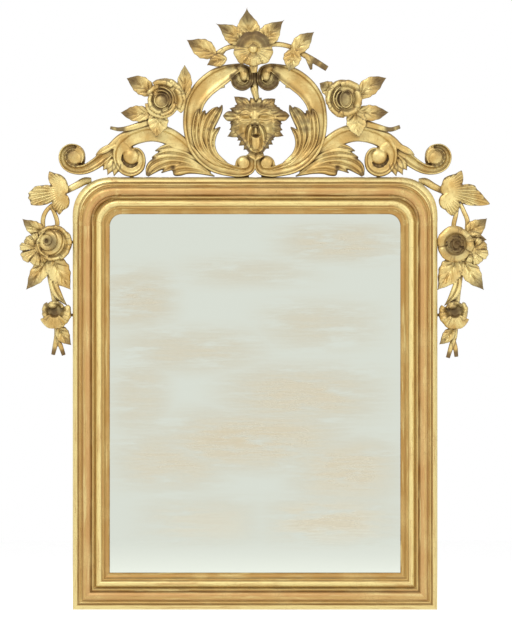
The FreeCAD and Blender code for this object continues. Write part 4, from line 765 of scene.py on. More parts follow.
def old_silvering():
    """A silvered plate whose backing has hazed in brushed, beige patches."""
    look = Look("old_silvering")
    across, up = look.axis("X"), look.axis("Z")
    brushed = look.noise(1.0, 6.0, 0.62, look.stretched((9.0, 9.0, 46.0)))
    fine = look.noise(1.0, 4.0, 0.6, look.stretched((14.0, 14.0, 230.0)))
    haze = 0.0
    for across_px, down_px, wide, tall, strength in HAZE_PX:
        middle = spot(across_px, down_px) * MM
        wide = wide * PIXEL * MM
        tall = tall * PIXEL * MM
        beside = look.maths("ABSOLUTE", look.less(across, float(middle[0])))
        above = look.maths("ABSOLUTE", look.less(up, float(middle[1])))
        patch = look.times(look.span(beside, wide * 1.25, wide * 0.2),
                           look.span(above, tall * 1.35, tall * 0.15))
        haze = look.most(haze, look.times(patch, strength))
    haze = look.times(haze, look.span(brushed, 0.26, 0.54))
    haze = look.times(haze, look.span(fine, 0.25, 0.62, 0.6, 1.0))
    colour = look.mix(haze, SILVER, HAZE)
    speck = look.span(look.noise(420.0, 2.0), 0.76, 0.82, 0.0, 0.6)
    speck = look.times(speck, look.span(look.noise(16.0, 3.0), 0.5, 0.65))
    colour = look.mix(speck, colour, SPECK)
    look.set(Base_Color=colour, Metallic=look.span(haze, 0.0, 1.0, 1.0, 0.72),
             Roughness=look.span(haze, 0.0, 1.0, 0.03, 0.32))
    look.set(Coat_Weight=0.3, Coat_Roughness=0.03)
    return look.material


def bare_pine(name, stretch, tint):
    """Aged bare softwood with its grain along one axis."""
    look = Look(name)
    where = look.stretched(stretch)
    grain = look.noise(1.0, 7.0, 0.6, where)
    bands = look.node("ShaderNodeTexWave", {"wave_type": "BANDS", "bands_direction": "DIAGONAL"},
                      Vector=where, Scale=0.6, Distortion=5.0, Detail=3.0).outputs["Fac"]
    colour = look.mix(look.span(grain, 0.3, 0.7), srgb(*[part * 0.72 for part in tint]), srgb(*tint))
    colour = look.mix(look.span(bands, 0.35, 0.9, 0.0, 0.45), colour, srgb(*[part * 0.55 for part in tint]))
    stain = look.noise(9.0, 4.0)
    colour = look.mix(look.span(stain, 0.5, 0.75, 0.0, 0.5), colour, STAIN)
    look.set(Base_Color=colour, Roughness=look.span(grain, 0.2, 0.8, 0.85, 0.7))
    look.bumped(grain, 0.4, 0.0008)
    return look.material


def old_iron():
    """Dark iron with patches of rust."""
    look = Look("old_iron")
    scale = look.noise(90.0, 6.0, 0.65)
    rust = look.noise(34.0, 5.0, 0.6)
    colour = look.mix(look.span(rust, 0.5, 0.66), IRON, RUST)
    look.set(Base_Color=colour, Metallic=look.span(rust, 0.48, 0.66, 0.85, 0.1),
             Roughness=look.span(scale, 0.3, 0.7, 0.45, 0.8))
    look.bumped(scale, 0.35, 0.0006)
    return look.material


def dress(node, look):
    """Gives a CAD node its look."""
    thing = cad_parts[node]
    thing.data.materials.clear()
    thing.data.materials.append(look)


# Carved limbs in pixels: across, down, half width, and share of the depth where that isn't one; the raised
# rim is on the left of the way they run.
CENTRE_LIMB = (
    (246, 156.6, 2.8), (250.6, 158.6, 3.4), (252.2, 164, 3.9), (249.6, 169.8, 4.3), (242, 172, 4.7),
    (232, 170.7, 5.8), (216, 166, 6.8), (204, 157, 7.6), (196, 145, 8.4), (192.5, 131, 8.8),
    (192, 117, 9), (195, 102, 9.6), (203, 89.5, 10.2), (214, 80, 10.4), (224, 74, 9.2), (233, 69.4, 6),
    (241, 66.8, 3.4), (248.4, 69.3, 2.8), (250.9, 76.5, 2.6), (249, 83.6, 3.1), (242.5, 87, 3.5),
    (235.8, 84, 3.5, 0.94), (233.4, 78, 3, 0.8), (232.6, 73, 2.4, 0.55))
ARCH_LIMB = (
    (132.6, 149.4, 2.2, 0.9), (137.6, 150.6, 3), (141, 155, 3.5), (141.7, 162, 3.8), (138.8, 168.6, 4.3),
    (131, 172, 4.6), (122.6, 168.8, 4.6), (117.6, 160.4, 4.2), (118.4, 150, 5.6), (125.6, 141.6, 7.6),
    (137, 135, 8.6), (152, 132.2, 9), (166, 135, 8.8), (178, 142, 8.4, 0.96), (188, 151, 7.8, 0.8),
    (198.5, 161.6, 7, 0.6), (208, 170.6, 5.5, 0.5))
BRANCH_LIMB = (
    (81.6, 151, 1.4, 0.9), (78, 147.6, 2.6), (70, 146.7, 3.2), (64, 150.9, 3.7), (62.2, 158, 3.9),
    (65.8, 165.6, 4.1), (74, 169.6, 4.3), (85, 168.9, 4.9), (96, 163, 5.7), (104, 156.4, 6, 0.96),
    (112, 149.6, 5.4, 0.8))
SHOULDER = (
    (94, 164, 2.4, 0.4), (99, 160, 4.6, 0.66), (104.6, 155.6, 6.4, 0.88), (113.6, 148.2, 7),
    (121, 142.2, 8), (130, 137.4, 8.4), (140, 134.8, 8, 0.9))
# Fingers of the acanthus leaves, root to tip: across, down, half width and share of the depth.
INNER_FINGERS = (
    ((238, 169, 2, 0.7), (222, 163, 3.2, 0.8), (212, 153, 3.4, 0.86), (208.4, 141, 3.4, 0.9),
     (210.4, 129, 3.6, 0.94), (215.4, 118, 3.8, 1), (220, 110, 2.7, 1.04), (222.2, 104.6, 0.5, 1.08)),
    ((230, 168, 2, 0.66), (216, 161, 3, 0.74), (207, 151, 3.2, 0.78), (203.4, 140, 3.3, 0.8),
     (204.4, 128, 3.7, 0.84), (208.6, 117, 4, 0.9), (213.6, 110.4, 2.8, 0.96), (217.8, 106.6, 0.6, 1)),
    ((224, 167, 2, 0.66), (211, 159, 3, 0.76), (202, 149, 3.2, 0.82), (198.4, 138, 3.3, 0.86),
     (199, 126, 3.6, 0.9), (201.8, 116, 3.3, 0.94), (205.2, 110.2, 0.8, 0.98)),
    ((216, 164.5, 2, 0.66), (205.5, 156.5, 2.6, 0.74), (197.8, 147, 2.8, 0.8), (194.6, 136, 2.9, 0.84),
     (194.8, 124, 3, 0.86), (197, 114, 2.6, 0.9), (199.4, 108.2, 0.5, 0.94)),
    ((226, 163.5, 2, 0.7), (216, 154.5, 2.7, 0.8), (212.6, 145, 2.7, 0.84), (213.6, 136, 2.8, 0.9),
     (217, 130, 2.2, 0.96), (220.4, 126.8, 0.5, 1)))
# The right inner leaf leans out more than the left: pixels of lean, from which row up, over how many rows.
INNER_LEAN, LEAN_FROM, LEAN_RUN = 1.6, 150, 45
SIDE_FINGERS = (
    ((206, 171, 2, 0.6), (197, 159, 4, 0.66), (185, 149.8, 4.6, 0.7), (173, 146.4, 4.3, 0.76),
     (163.5, 147.8, 3.1, 0.84), (155, 150.7, 0.5, 0.9)),
    ((208, 172, 2, 0.6), (199, 163, 3.8, 0.68), (185, 155, 4.2, 0.74), (171, 152.4, 3.8, 0.8),
     (160.5, 153.8, 2.7, 0.86), (151.7, 157.2, 0.5, 0.9)),
    ((210, 173, 2, 0.6), (200, 166.5, 3.4, 0.7), (186, 159.8, 4, 0.78), (171, 157.8, 4.4, 0.84),
     (158, 160.4, 4.4, 0.9), (149.6, 166.4, 3.6, 0.96), (146.4, 175.4, 0.8, 1)),
    ((210, 173, 2, 0.6), (200, 168, 3, 0.66), (186, 163.4, 3.6, 0.72), (172, 162.6, 4, 0.78),
     (160, 166, 4, 0.84), (152, 171.2, 2.8, 0.9), (147.6, 176.2, 0.6, 0.96)),
    ((210, 173, 2, 0.56), (196, 168.6, 3, 0.62), (182, 165.8, 3.2, 0.66), (170.5, 167.4, 2.9, 0.72),
     (161.2, 172.6, 0.5, 0.8)))
SIDE_CURL = (
    (214.6, 176, 0.6, 0.5), (206, 172.8, 2.2, 0.7), (197, 170.4, 3.4, 0.8), (187, 169, 4.8, 0.9),
    (179.4, 170, 5.6, 1), (174.4, 171.4, 4.6, 0.9), (172.6, 171.8, 2.6, 0.8))
# Floors of the coils: across, down and radius, and how high they lie above the scroll's back.
CENTRE_FLOORS = ((244.5, 164.5, 9.4, 12), (242.8, 77, 10.4, 11))
SIDE_FLOORS = ((130.6, 162, 12, 10), (73.2, 158, 12, 11))
# Balls in the coils: across, down, height of the middle above the scroll's back, and half sizes.
CENTRE_BALLS = ((243.4, 162, 13, 6.1, 6.1, 6), (244.2, 74.4, 13, 4.6, 6.6, 10))
SIDE_BALLS = ((131.2, 156, 13, 8.3, 8.3, 9), (74.4, 157, 14, 8.3, 8.3, 8))
# Round lips by the coils: places and half widths, height of their backs above the scroll's, and depth.
CENTRE_LIPS = (
    (((237.4, 67.2, 2), (240.6, 67.4, 3.8), (243.6, 70, 4.6), (244.8, 73.4, 4.4), (244.6, 77, 3.4)), 6,
     15),
    (((217, 87.4, 1.4), (221, 86.6, 1.6), (225, 86.8, 0.5)), 0, 16))
SIDE_LIPS = (
    (((132.4, 150.4, 2.6), (136.6, 152, 3)), 0, 16),
    (((121, 143.4, 5), (125.4, 147, 5.2), (129, 151, 4.6)), 0, 18.5),
    (((81, 163, 1), (82.4, 159, 2), (82, 154.6, 3.2), (79.4, 150.6, 4), (75.6, 149, 4)), 0, 22))
# Leaves of the side scroll, one along its branch and three under its arch: base, tip and width; and how
# high the lower ones lie above the scroll's back.
BRANCH_LEAF = ((115, 144.4), (95.4, 154.6), 7)
ARCH_LEAVES = (
    ((112, 158), (102.6, 170.4), 9), ((115, 158), (107, 175.2), 9), ((118, 160), (113.6, 176.6), 8))
ARCH_LEAF_LIFT = 13
# Dark spots: round the rolled end of the cartouche's band, with radius; over that roll; painted shade in
# the two coils of the side scroll, under their balls; on its branch, with radius and strength.
ROLL_DIRT = (
    (233.6, 77, 4.4), (234.6, 83.6, 4.6), (239, 88, 4.6), (245, 88.6, 4.6), (250.4, 84.4, 4.4),
    (252, 77, 3.6))
CROWN_DIRT = ((220, 64), (229, 64), (237, 64), (245, 64))
ARCH_COIL_SHADE = ((122.4, 159.6), (124.4, 163.4), (127.8, 165.8), (132, 166.2), (135.8, 164.8))
BRANCH_COIL_SHADE = ((67.4, 151), (65.6, 155), (65.6, 159), (67.4, 163), (71, 165.4), (75.4, 166))
BRANCH_DIRT = ((90, 164, 8, 0.35), (71, 152, 11, 0.42))


def coils(carving, floors, balls, lips):
    """What lies in the coiled ends of a scroll."""
    for across, down, radius, top in floors:
        disc(carving, across, down, radius, SCROLL_BACK, SCROLL_BACK + top)
    for across, down, lift, *halves in balls:
        ball(carving, across, down, SCROLL_BACK + lift, *halves)
    for rows, lift, depth in lips:
        sweep(carving, rows, SCROLL_BACK + lift, depth, ROUND)


def centre_scroll():
    """One half of the cartouche: a C whose lower end coils round a ball and whose upper end rolls over."""
    carving = Carving()
    sweep(carving, CENTRE_LIMB, SCROLL_BACK, SCROLL_DEPTH, RIMMED)
    coils(carving, CENTRE_FLOORS, CENTRE_BALLS, CENTRE_LIPS)
    for mark in ROLL_DIRT:
        carving.soil_and_shade(*mark, 0.95)
    carving.soil_and_shade_each(CROWN_DIRT, 6, 0.75)
    return carving


def side_scroll():
    """An arch that coils down round a ball, with a branch that runs out to a second coil."""
    carving = Carving()
    sweep(carving, ARCH_LIMB, SCROLL_BACK, SCROLL_DEPTH, ARCHED)
    sweep(carving, BRANCH_LIMB, SCROLL_BACK, SCROLL_DEPTH - 1, TWO_RIMS)
    sweep(carving, SHOULDER, SCROLL_BACK, SCROLL_DEPTH, ARCHED)
    coils(carving, SIDE_FLOORS, SIDE_BALLS, SIDE_LIPS)
    height = SCROLL_BACK + ARCH_LEAF_LIFT
    leaf(carving, *BRANCH_LEAF, (height + 9, height + 9, height + 6), veins=0, crown=1.2, thick=9, widest=0.5,
         blunt=0.5, stalk=0.7, darkness=0.4)
    for place in ARCH_LEAVES:
        leaf(carving, *place, (height, height + 3, height), veins=0, flutes=1, crown=1.4, thick=11, darkness=0.3)
    # Painted shade: crescents under the balls in the two coils.
    carving.soil_and_shade_each(ARCH_COIL_SHADE, 2.2, 0.75)
    carving.soil_and_shade_each(BRANCH_COIL_SHADE, 2.3, 0.7)
    for mark in BRANCH_DIRT:
        carving.soil_and_shade(*mark)
    return carving


def leaning(finger):
    """A finger whose upper end leans outward."""
    rows = []
    for across, down, *rest in finger:
        rows.append((across - INNER_LEAN * max(0, LEAN_FROM - down) / LEAN_RUN, down, *rest))
    return rows


def acanthus(fingers):
    """Grooved fingers that grow together at their roots."""
    carving = Carving()
    for finger in fingers:
        sweep(carving, finger, SCROLL_BACK, ACANTHUS_DEPTH, GROOVED)
        carving.soil_and_shade(*finger[-1][:2], 5, 0.9)
    return carving


def spray(rows, height, **shape):
    """Several leaves of one spray: base, tip, width, bend, how far the tip lifts and how dark it is."""
    carving = Carving()
    for base, tip, width, bend, lift, darkness in rows:
        leaf(carving, base, tip, width, (height + 3, height + 5, height + 4 + lift), bend, darkness=darkness, **shape)
    return carving


def stems(limbs, back, ends):
    """Round stems of one piece; their loose ends are dark, and their sides carry painted shade with some
    dirt.
    """
    carving = Carving()
    for rows in limbs:
        sweep(carving, rows, back, STEM_DEPTH, ROUND)
        # Both sides of each stem are darkened: painted shade of its outline, with some dirt.
        path = smooth_path(rows, 1.5)
        normal = np.gradient(path[:, :2], axis=0)[:, ::-1] * (1, -1)
        normal *= (path[:, 2] / np.linalg.norm(normal, axis=1))[:, None]
        carving.soil_and_shade_each(np.concatenate([path[:, :2] + normal, path[:, :2] - normal]), 1.1, 0.6)
    carving.soil_and_shade_each(ends, 6, 0.95)
    return carving


gilding = carved_gilding()

for label, build in (("centre_scroll", centre_scroll), ("side_scroll", side_scroll)):
    half = build()
    half.piece(label + "_left", gilding)
    half.mirrored().piece(label + "_right", gilding)

# Dark spots of the acanthus, as on the left: along both inner leaves, on the right one alone, on the curl.
INNER_DIRT = ((219.6, 110), (215.4, 116), (211.6, 122), (208.6, 129))
RIGHT_DIRT = ((198, 113), (206, 113), (213, 112), (202, 121), (208, 121), (204, 129))
CURL_DIRT = ((172.8, 167.6), (172.8, 171), (172.8, 174.4))

inner = acanthus(INNER_FINGERS)
inner.soil_and_shade_each(INNER_DIRT, 2.6, 0.55)
inner.piece("inner_acanthus_left", gilding)
inner = acanthus([leaning(finger) for finger in INNER_FINGERS])
inner.soil_and_shade_each(INNER_DIRT, 2.6, 0.55)
inner.soil_and_shade_each(RIGHT_DIRT, 5.5, 0.6)
inner.mirrored().piece("inner_acanthus_right", gilding)

outer = acanthus(SIDE_FINGERS)
sweep(outer, SIDE_CURL, SCROLL_BACK, 20, GROOVED)
outer.soil_and_shade_each(CURL_DIRT, 2.8, 0.9)
outer.piece("side_acanthus_left", gilding)
outer.mirrored().piece("side_acanthus_right", gilding)

mask().piece("mask", gilding, FINEST)

# The stem above the mask, and a thin one that winds over it: places and half widths; and dark spots.
MASK_STEM = (
    (254.9, 64, 2.6), (254.8, 76, 2.7), (254.4, 87, 4.2), (255, 92, 3.6), (256.2, 97, 3.2), (257, 103, 4))
MASK_TENDRIL = ((252.6, 87, 2), (254.6, 94, 1.8), (256, 101, 1.5))
STEM_DIRT = ((254.8, 68), (254.8, 75), (254.8, 82))

stem = Carving()
sweep(stem, MASK_STEM, MASK_BACK, 16, ROUND)
sweep(stem, MASK_TENDRIL, MASK_BACK + 8, 10, ROUND)
stem.soil_and_shade_each(STEM_DIRT, 5, 0.7)
stem.piece("mask_stem", gilding)

# The top flower: heart, stalk, and petals (bearing, half spread in degrees, reach in pixels, and flutes).
TOP_HEART = (253.2, 49.6)
TOP_STALK = ((253, 49, 4.4), (253.2, 58, 4.2), (253.6, 66, 4.4), (254.2, 73, 3))
TOP_PETALS = (
    (128, 46, 18, 0.5), (52, 46, 18.2, 0.5), (203, 38, 19.8, 2.5), (337, 38, 20, 2.5), (270, 38, 17.4, 4))


def top_flower():
    """An open five-petalled flower with a knob at its heart, on a stem behind it."""
    carving = Carving()
    for step, (bearing, spread, reach, flutes) in enumerate(TOP_PETALS):
        petal(carving, TOP_HEART, bearing, spread, 2.0, reach, CREST_BLOOM + 9,
              CREST_BLOOM + 16 + 3 * (step % 2), fall=9.0, crest=0.6, thick=4.0, flutes=flutes, shoulder=4.0)
    ball(carving, *TOP_HEART, CREST_BLOOM + 9, 4.9, 4.9, 9)
    ball(carving, *TOP_HEART, CREST_STEM + 10, 5, 5, 14)
    sweep(carving, TOP_STALK, CREST_STEM, STEM_DEPTH + 4, ROUND)
    # The upper petals are darkened: dust, and painted shade where their faces turn down.
    for bearing in np.radians(range(20, 170, 10)):
        for reach in (11.5, 15.5):
            across = TOP_HEART[0] + reach * math.cos(bearing)
            carving.soil_and_shade(across, TOP_HEART[1] - reach * math.sin(bearing), 3.8, 0.8)
    return carving


top_flower().piece("top_flower", gilding, CLOSE)

TOP_LEAVES = (
    ((251, 43), (246.9, 8), 23, 0.03, 4, 1), ((243, 45), (215.8, 23.9), 18.5, -0.05, 4, 1),
    ((262, 45), (284.3, 20.5), 20.5, 0.05, 4, 1))
leaves = spray(TOP_LEAVES, CREST_LEAF, veins=5, ruffle=0.03, blunt=1.1)
leaves.piece("top_leaves", gilding, MEDIUM)

SPRIG_STEMS = {
    "left": (
        ((253, 49, 3), (243, 47.5, 3), (232, 46.6, 2.7), (222, 50.5, 2.6), (213, 56.5, 2.2)),
        ((224, 50.5, 2.2), (221, 55, 2.2), (222, 58, 1.8))),
    "right": (
        ((253, 48, 3), (264, 45.5, 3), (277, 44.3, 2.7), (291, 47.2, 2.6), (303, 54.3, 3),
         (315, 61.3, 3.2), (327, 68.8, 2.9)),
        ((307, 56.5, 2.6), (309.8, 63, 2.6), (311.2, 69.8, 1.2))),
}
SPRIG_ENDS = {"left": (), "right": ((324, 67), (316, 62), (311, 68))}
SPRIG_LEAVES = {
    "left": (
        ((216, 54.5), (186.6, 40.2), 19.5, 0.02, 3, 0.9), ((227, 59), (206.8, 65.8), 13, -0.06, 2, 0.7)),
    "right": (
        ((293.5, 53.5), (314.2, 32.3), 17, 0.04, 4, 1), ((293, 48.5), (288.6, 72.2), 18, 0.04, 2, 0.6)),
}
# Roses: bowl's middle and radius, heart, petals (bearing, half spread, foot, reach, share of the depth) and
# rims (first and last angle, first and last radius).
CREST_ROSES = {
    "left": (
        (166.4, 99.6, 13.2), (161.6, 101.2),
        ((240, 46, 8, 17.6, 0.44), (302, 40, 9, 18.2, 0.44), (6, 34, 13, 24.6, 0.5),
         (60, 34, 12, 23, 0.42), (228, 41, 6.4, 14.2, 0.74), (308, 37, 9.6, 15.9, 0.66),
         (8, 28, 13.6, 21.8, 0.72), (46, 24, 15, 24, 0.57), (84, 28, 12.6, 21.4, 0.68),
         (128, 24, 8.8, 17, 0.57), (176, 30, 7, 13.8, 0.66)),
        ((-40, 118, 8.8, 10), (-52, 104, 11, 13.4))),
    "right": (
        (342.8, 99.4, 13), (345.7, 99.8),
        ((283, 38, 9, 17.6, 0.44), (222, 38, 12, 19.6, 0.48), (150, 40, 12, 21, 0.46),
         (60, 30, 9, 18, 0.5), (320, 28, 7, 17, 0.5), (0, 38, 6.8, 16.2, 0.74),
         (284, 36, 8.6, 16.8, 0.66), (226, 30, 12, 18.8, 0.57), (174, 32, 12.8, 19.8, 0.68),
         (122, 26, 12, 20.4, 0.57), (74, 32, 10, 19.4, 0.72)),
        ((118, 248, 9.6, 9.4), (112, 240, 13, 11.8))),
}
CREST_BUDS = {"left": (6.8, 6.8), "right": (5.8, 8.2)}
CREST_ROSE_LEAVES = {
    "left": (
        ((159, 109.5), (156.4, 137.2), 20.5, 0.01, 1, 0.3),
        ((151.5, 113), (120.8, 112.9), 16, 0.03, 2, 0.9), ((153, 95), (126.8, 78.8), 18, -0.06, 4, 0.9),
        ((182.6, 100), (184.6, 65.2), 15, -0.03, 4, 0.5)),
    "right": (
        ((355, 109.5), (359, 137.4), 20, -0.02, 1, 0.3),
        ((356, 111.5), (388.4, 112.4), 16, -0.04, 2, 0.9), ((357, 98), (386.1, 78.3), 18, 0.06, 4, 0.9),
        ((336, 93.4), (319.4, 83.4), 15, 0.0, 3, 0.8)),
}
CREST_TWIGS = {
    "left": (
        (168, 96, 3), (164, 108, 3.2), (157, 117, 3.4), (146, 122.5, 3.6), (132, 127.5, 3),
        (120, 129.4, 2.2), (110.3, 127.8, 1.6)),
    "right": (
        (342, 96, 3), (346, 108, 3.2), (353, 117, 3.4), (364, 122.5, 3.6), (378, 127, 3),
        (390, 129.6, 2.4), (400, 126.8, 2)),
}

for side in SIDES:
    stems(SPRIG_STEMS[side], CREST_STEM, SPRIG_ENDS[side]).piece("sprig_stem_" + side, gilding, MEDIUM)
    leaves = spray(SPRIG_LEAVES[side], CREST_LEAF, widest=0.4, veins=4, ruffle=0.04)
    leaves.piece("sprig_leaves_" + side, gilding, MEDIUM)
    bloom = rose(Carving(), CREST_BLOOM, *CREST_ROSES[side])
    cupped_bud(bloom, CREST_ROSES[side][1], *CREST_BUDS[side], CREST_BLOOM)
    bloom.piece("crest_rose_" + side, gilding, FINE)
    leaves = spray(CREST_ROSE_LEAVES[side], CREST_LEAF, veins=4, ruffle=0.04, blunt=0.58, widest=0.44,
                   crown=1.5, thick=7)
    leaves.piece("crest_rose_leaves_" + side, gilding, CLOSE)
    twig = CREST_TWIGS[side]
    twig_ends = (twig[-1][:2], twig[-2][:2])
    stems((twig,), CREST_STEM, twig_ends).piece("crest_twig_" + side, gilding, MEDIUM)

# Lobed leaves at the heads of the drops: ribs to a full turn; middles, where their stalks join, and outlines.
SPRIG_RIBS = 52
DROP_SPRIG = {
    "left": (
        (58, 193), (70, 189.6),
        ((67, 183), (64.2, 177.4), (59.5, 174), (54, 172.8), (48.6, 170.8), (47.6, 178.2), (50.4, 185.2),
         (41.7, 185), (34.2, 186), (31, 189.4), (27.4, 193), (28.4, 195), (27.2, 197.6), (29.4, 200.4),
         (30.2, 204.6), (36.5, 205.4), (44, 204.6), (51.6, 201.4), (52.4, 208.3), (55.6, 211),
         (58.7, 214.7), (62.6, 210), (67.8, 206.8), (69, 198.8), (66, 194))),
    "right": (
        (450, 192), (440, 190),
        ((442.4, 183.6), (444.7, 177.8), (451.4, 174.6), (456, 173.4), (462.3, 169.8), (463.8, 179.8),
         (462.6, 184.4), (470, 183.6), (475.6, 185.2), (477.6, 189), (481.6, 192.5), (485.4, 197.4),
         (491, 203.9), (475.5, 205.5), (464.5, 203.9), (460.6, 202), (460.3, 207.5), (457.6, 212.4),
         (452.6, 215.8), (445.9, 209.8), (441, 206.8), (439.2, 199.6), (442.5, 194))),
}
DROP_STEMS = {
    "left": (
        ((91, 180.2, 3.2), (84, 180.8, 4), (76, 185, 3.7), (66, 190.2, 3.2), (56, 195, 2.8)),
        ((52, 204, 2.1), (45.4, 211, 2.3), (42.4, 219, 2.4), (42.6, 230, 2.3)),
        ((51, 207, 2), (54, 213, 2.3), (56.6, 222, 2.4), (55.4, 232, 2.3)),
        ((49, 262, 3.4), (50, 275, 3.8), (53, 290, 3.8), (55, 304, 3.4), (56, 320, 3.2), (56.5, 334, 3),
         (54.4, 346, 2.5), (52.4, 355, 2)),
        ((57, 338, 2.2), (60, 346, 2.4), (63.2, 355.4, 2))),
    "right": (
        ((419, 181, 3.2), (426, 181.4, 4), (434, 186, 3.7), (444, 190.8, 3.2), (454, 195, 2.8)),
        ((457.6, 208, 2.2), (456.2, 216, 2.4), (454.4, 224, 2.5), (454.4, 232, 2.4)),
        ((461, 203, 2.2), (464.4, 211, 2.4), (468, 220, 2.5), (467.6, 231, 2.5)),
        ((461, 262, 3.4), (460, 275, 3.8), (458, 290, 3.8), (457, 304, 3.4), (456, 320, 3.2),
         (455, 336, 3), (452, 346, 2.6), (448.4, 358, 2.1)),
        ((454, 340, 2.2), (456, 348, 2.4), (457, 357, 2))),
}
DROP_ENDS = {"left": ((52, 353), (63, 354), (66, 192)), "right": ((448, 357), (457, 356), (443, 192))}
DROP_ROSES = {
    "left": (
        (52, 242.8, 13), (51.8, 243),
        ((268, 50, 9, 18, 0.42), (340, 50, 9, 19.4, 0.42), (40, 50, 9, 19, 0.44),
         (100, 50, 9, 17.8, 0.44), (206, 46, 11, 15.8, 0.66), (272, 30, 11.8, 17.8, 0.57),
         (326, 24, 12.4, 19.6, 0.64), (8, 26, 11.4, 20.2, 0.56), (50, 30, 12.2, 18.8, 0.64),
         (100, 34, 11.6, 17.4, 0.56), (150, 26, 11, 14.8, 0.62)),
        ()),
    "right": (
        (455.9, 244.4, 12.6), (455.9, 244.6),
        ((265, 60, 9, 18, 0.42), (340, 50, 9, 17.6, 0.42), (40, 50, 9, 17.6, 0.44),
         (186, 34, 9.4, 18.4, 0.5), (128, 56, 9.6, 19.4, 0.6), (226, 34, 8.8, 18.4, 0.72),
         (292, 38, 9, 17, 0.66), (2, 24, 9, 18.4, 0.76), (46, 30, 10, 17.6, 0.68)),
        ()),
}
# Buds of those roses: radius, heights of foot and top above the bloom's base, pit and pitch of the winding,
# and the reach and strength of the darkening round the heart, painted shade of the bowl.
DROP_BUDS = {
    "left": (12.8, 3, 21, (46.4, 241), 5.4, 11.5, 0.5),
    "right": (4.8, 1, 11, (457.8, 243), 3.6, 13, 0.95),
}
# Small petals that stand round the bud: bearing, half spread, reach and height of the rim.
DROP_HEARTS = {
    "left": (),
    "right": ((24, 40, 8.2, 11), (104, 44, 8.8, 9), (196, 42, 8.2, 9), (286, 46, 8.6, 11)),
}
# How high the floors of their bowls lie, as a share of the blossom's depth, and where along a petal its
# crest is.
DROP_BOWLS = {"left": (0.42, 0.68), "right": (0.16, 0.3)}
# Side blooms: middle and petals (bearing, half spread, reach, flutes).
DROP_BLOOMS = {
    "left": (
        (39.6, 247.6),
        ((112, 18, 15.6, 1.5), (146, 20, 17.4, 2.5), (177, 14, 20.2, 1), (212, 21, 20.8, 1.5),
         (252, 20, 18.4, 2.5), (288, 17, 15.4, 1.5))),
    "right": (
        (472, 249.6),
        ((52, 18, 14, 1), (18, 20, 16, 2), (-20, 21, 17.2, 1), (-62, 24, 16, 2.5), (-104, 22, 13.4, 2))),
}
DROP_LEAVES = {
    "left": (
        ((46, 259), (25.4, 289.8), 17, 0.03, 2, 0.8), ((52, 256.5), (70.4, 289.8), 23, -0.04, 2, 0.3),
        ((44, 233), (21.8, 218.6), 14.5, 0.05, 3, 0.8), ((58, 326), (71, 345.4), 14, -0.06, 1, 0.6)),
    "right": (
        ((464, 259), (484.5, 290), 19, -0.03, 2, 0.8), ((457, 257), (437.8, 290), 23, 0.04, 2, 0.3),
        ((466, 234), (487.6, 217.9), 17, -0.04, 3, 0.8), ((466, 237), (487.4, 239.6), 13, 0.0, 2, 0.9),
        ((453.5, 328), (439.4, 344.6), 12, 0.06, 1, 0.6)),
}
DROP_SHEATHS = {"left": ((51, 275), (67.4, 306), 9.5, -0.1), "right": ((459, 277), (444, 306), 9.5, 0.12)}
# Lower flowers, cups that hang open to the front: throat, and petals (bearing, half spread, foot, reach,
# height of the rim, where along the petal it lies, and flutes).
DROP_FLOWERS = {
    "left": (
        (54.4, 311),
        ((266, 57, 3.6, 18, 19, 0.24, 3), (330, 30, 5, 17.4, 14, 0.5, 1), (2, 24, 7, 16.4, 12, 0.6, 1),
         (54, 34, 5.6, 10.6, 13, 0.6, 1), (112, 34, 5.6, 10.4, 13, 0.6, 1),
         (160, 30, 6, 12.8, 16, 0.6, 1), (204, 24, 6, 13, 15, 0.5, 1))),
    "right": (
        (455, 311.4),
        ((274, 57, 3.6, 18, 19, 0.24, 3), (214, 30, 5, 17, 14, 0.5, 1), (178, 24, 7, 15.8, 12, 0.6, 1),
         (126, 34, 5.6, 10.4, 13, 0.6, 1), (68, 34, 5.6, 10.4, 13, 0.6, 1), (20, 30, 6, 13.6, 16, 0.6, 1),
         (-26, 24, 6, 13.4, 15, 0.5, 1))),
}
# Painted shade in a throat and its folds: away from its middle, and radius.
THROAT_SHADE = ((5.6, -1.4, 4), (-6, -1, 4.4), (-8, -6, 3), (5, -7, 3))


def drop_rose(side):
    """A rose whose large bud swirls in its bowl."""
    carving = rose(Carving(), DROP_BLOOM, *DROP_ROSES[side], *DROP_BOWLS[side])
    heart = DROP_ROSES[side][1]
    radius, foot, top, pit, pitch, reach, darkness = DROP_BUDS[side]
    bud(carving, heart, radius, DROP_BLOOM + foot, DROP_BLOOM + top, pit, pitch)
    for bearing, spread, tip, rim in DROP_HEARTS[side]:
        petal(carving, heart, bearing, spread, 3.4, tip, DROP_BLOOM + 2, DROP_BLOOM + rim, fall=3, crest=0.6,
              thick=4.0, flutes=1)
    # Painted shade in the pit, and round the heart painted shade of the bowl.
    carving.soil_and_shade(*pit, 3.4, 1.0)
    carving.soil_and_shade(*heart, reach, darkness)
    return carving


def drop_bloom(centre, petals):
    """A half-open bloom seen from the side: a fan of fluted petals round a low heart."""
    carving = Carving()
    for step, (bearing, spread, reach, flutes) in enumerate(petals):
        petal(carving, centre, bearing, spread, 1.5, reach, DROP_BLOOM + 3, DROP_BLOOM + 14 - 4 * (step % 2),
              fall=7.0, crest=0.7, thick=4.0, flutes=flutes, shoulder=5.0)
    ball(carving, *centre, DROP_BLOOM + 1, 6, 6, 8)
    return carving


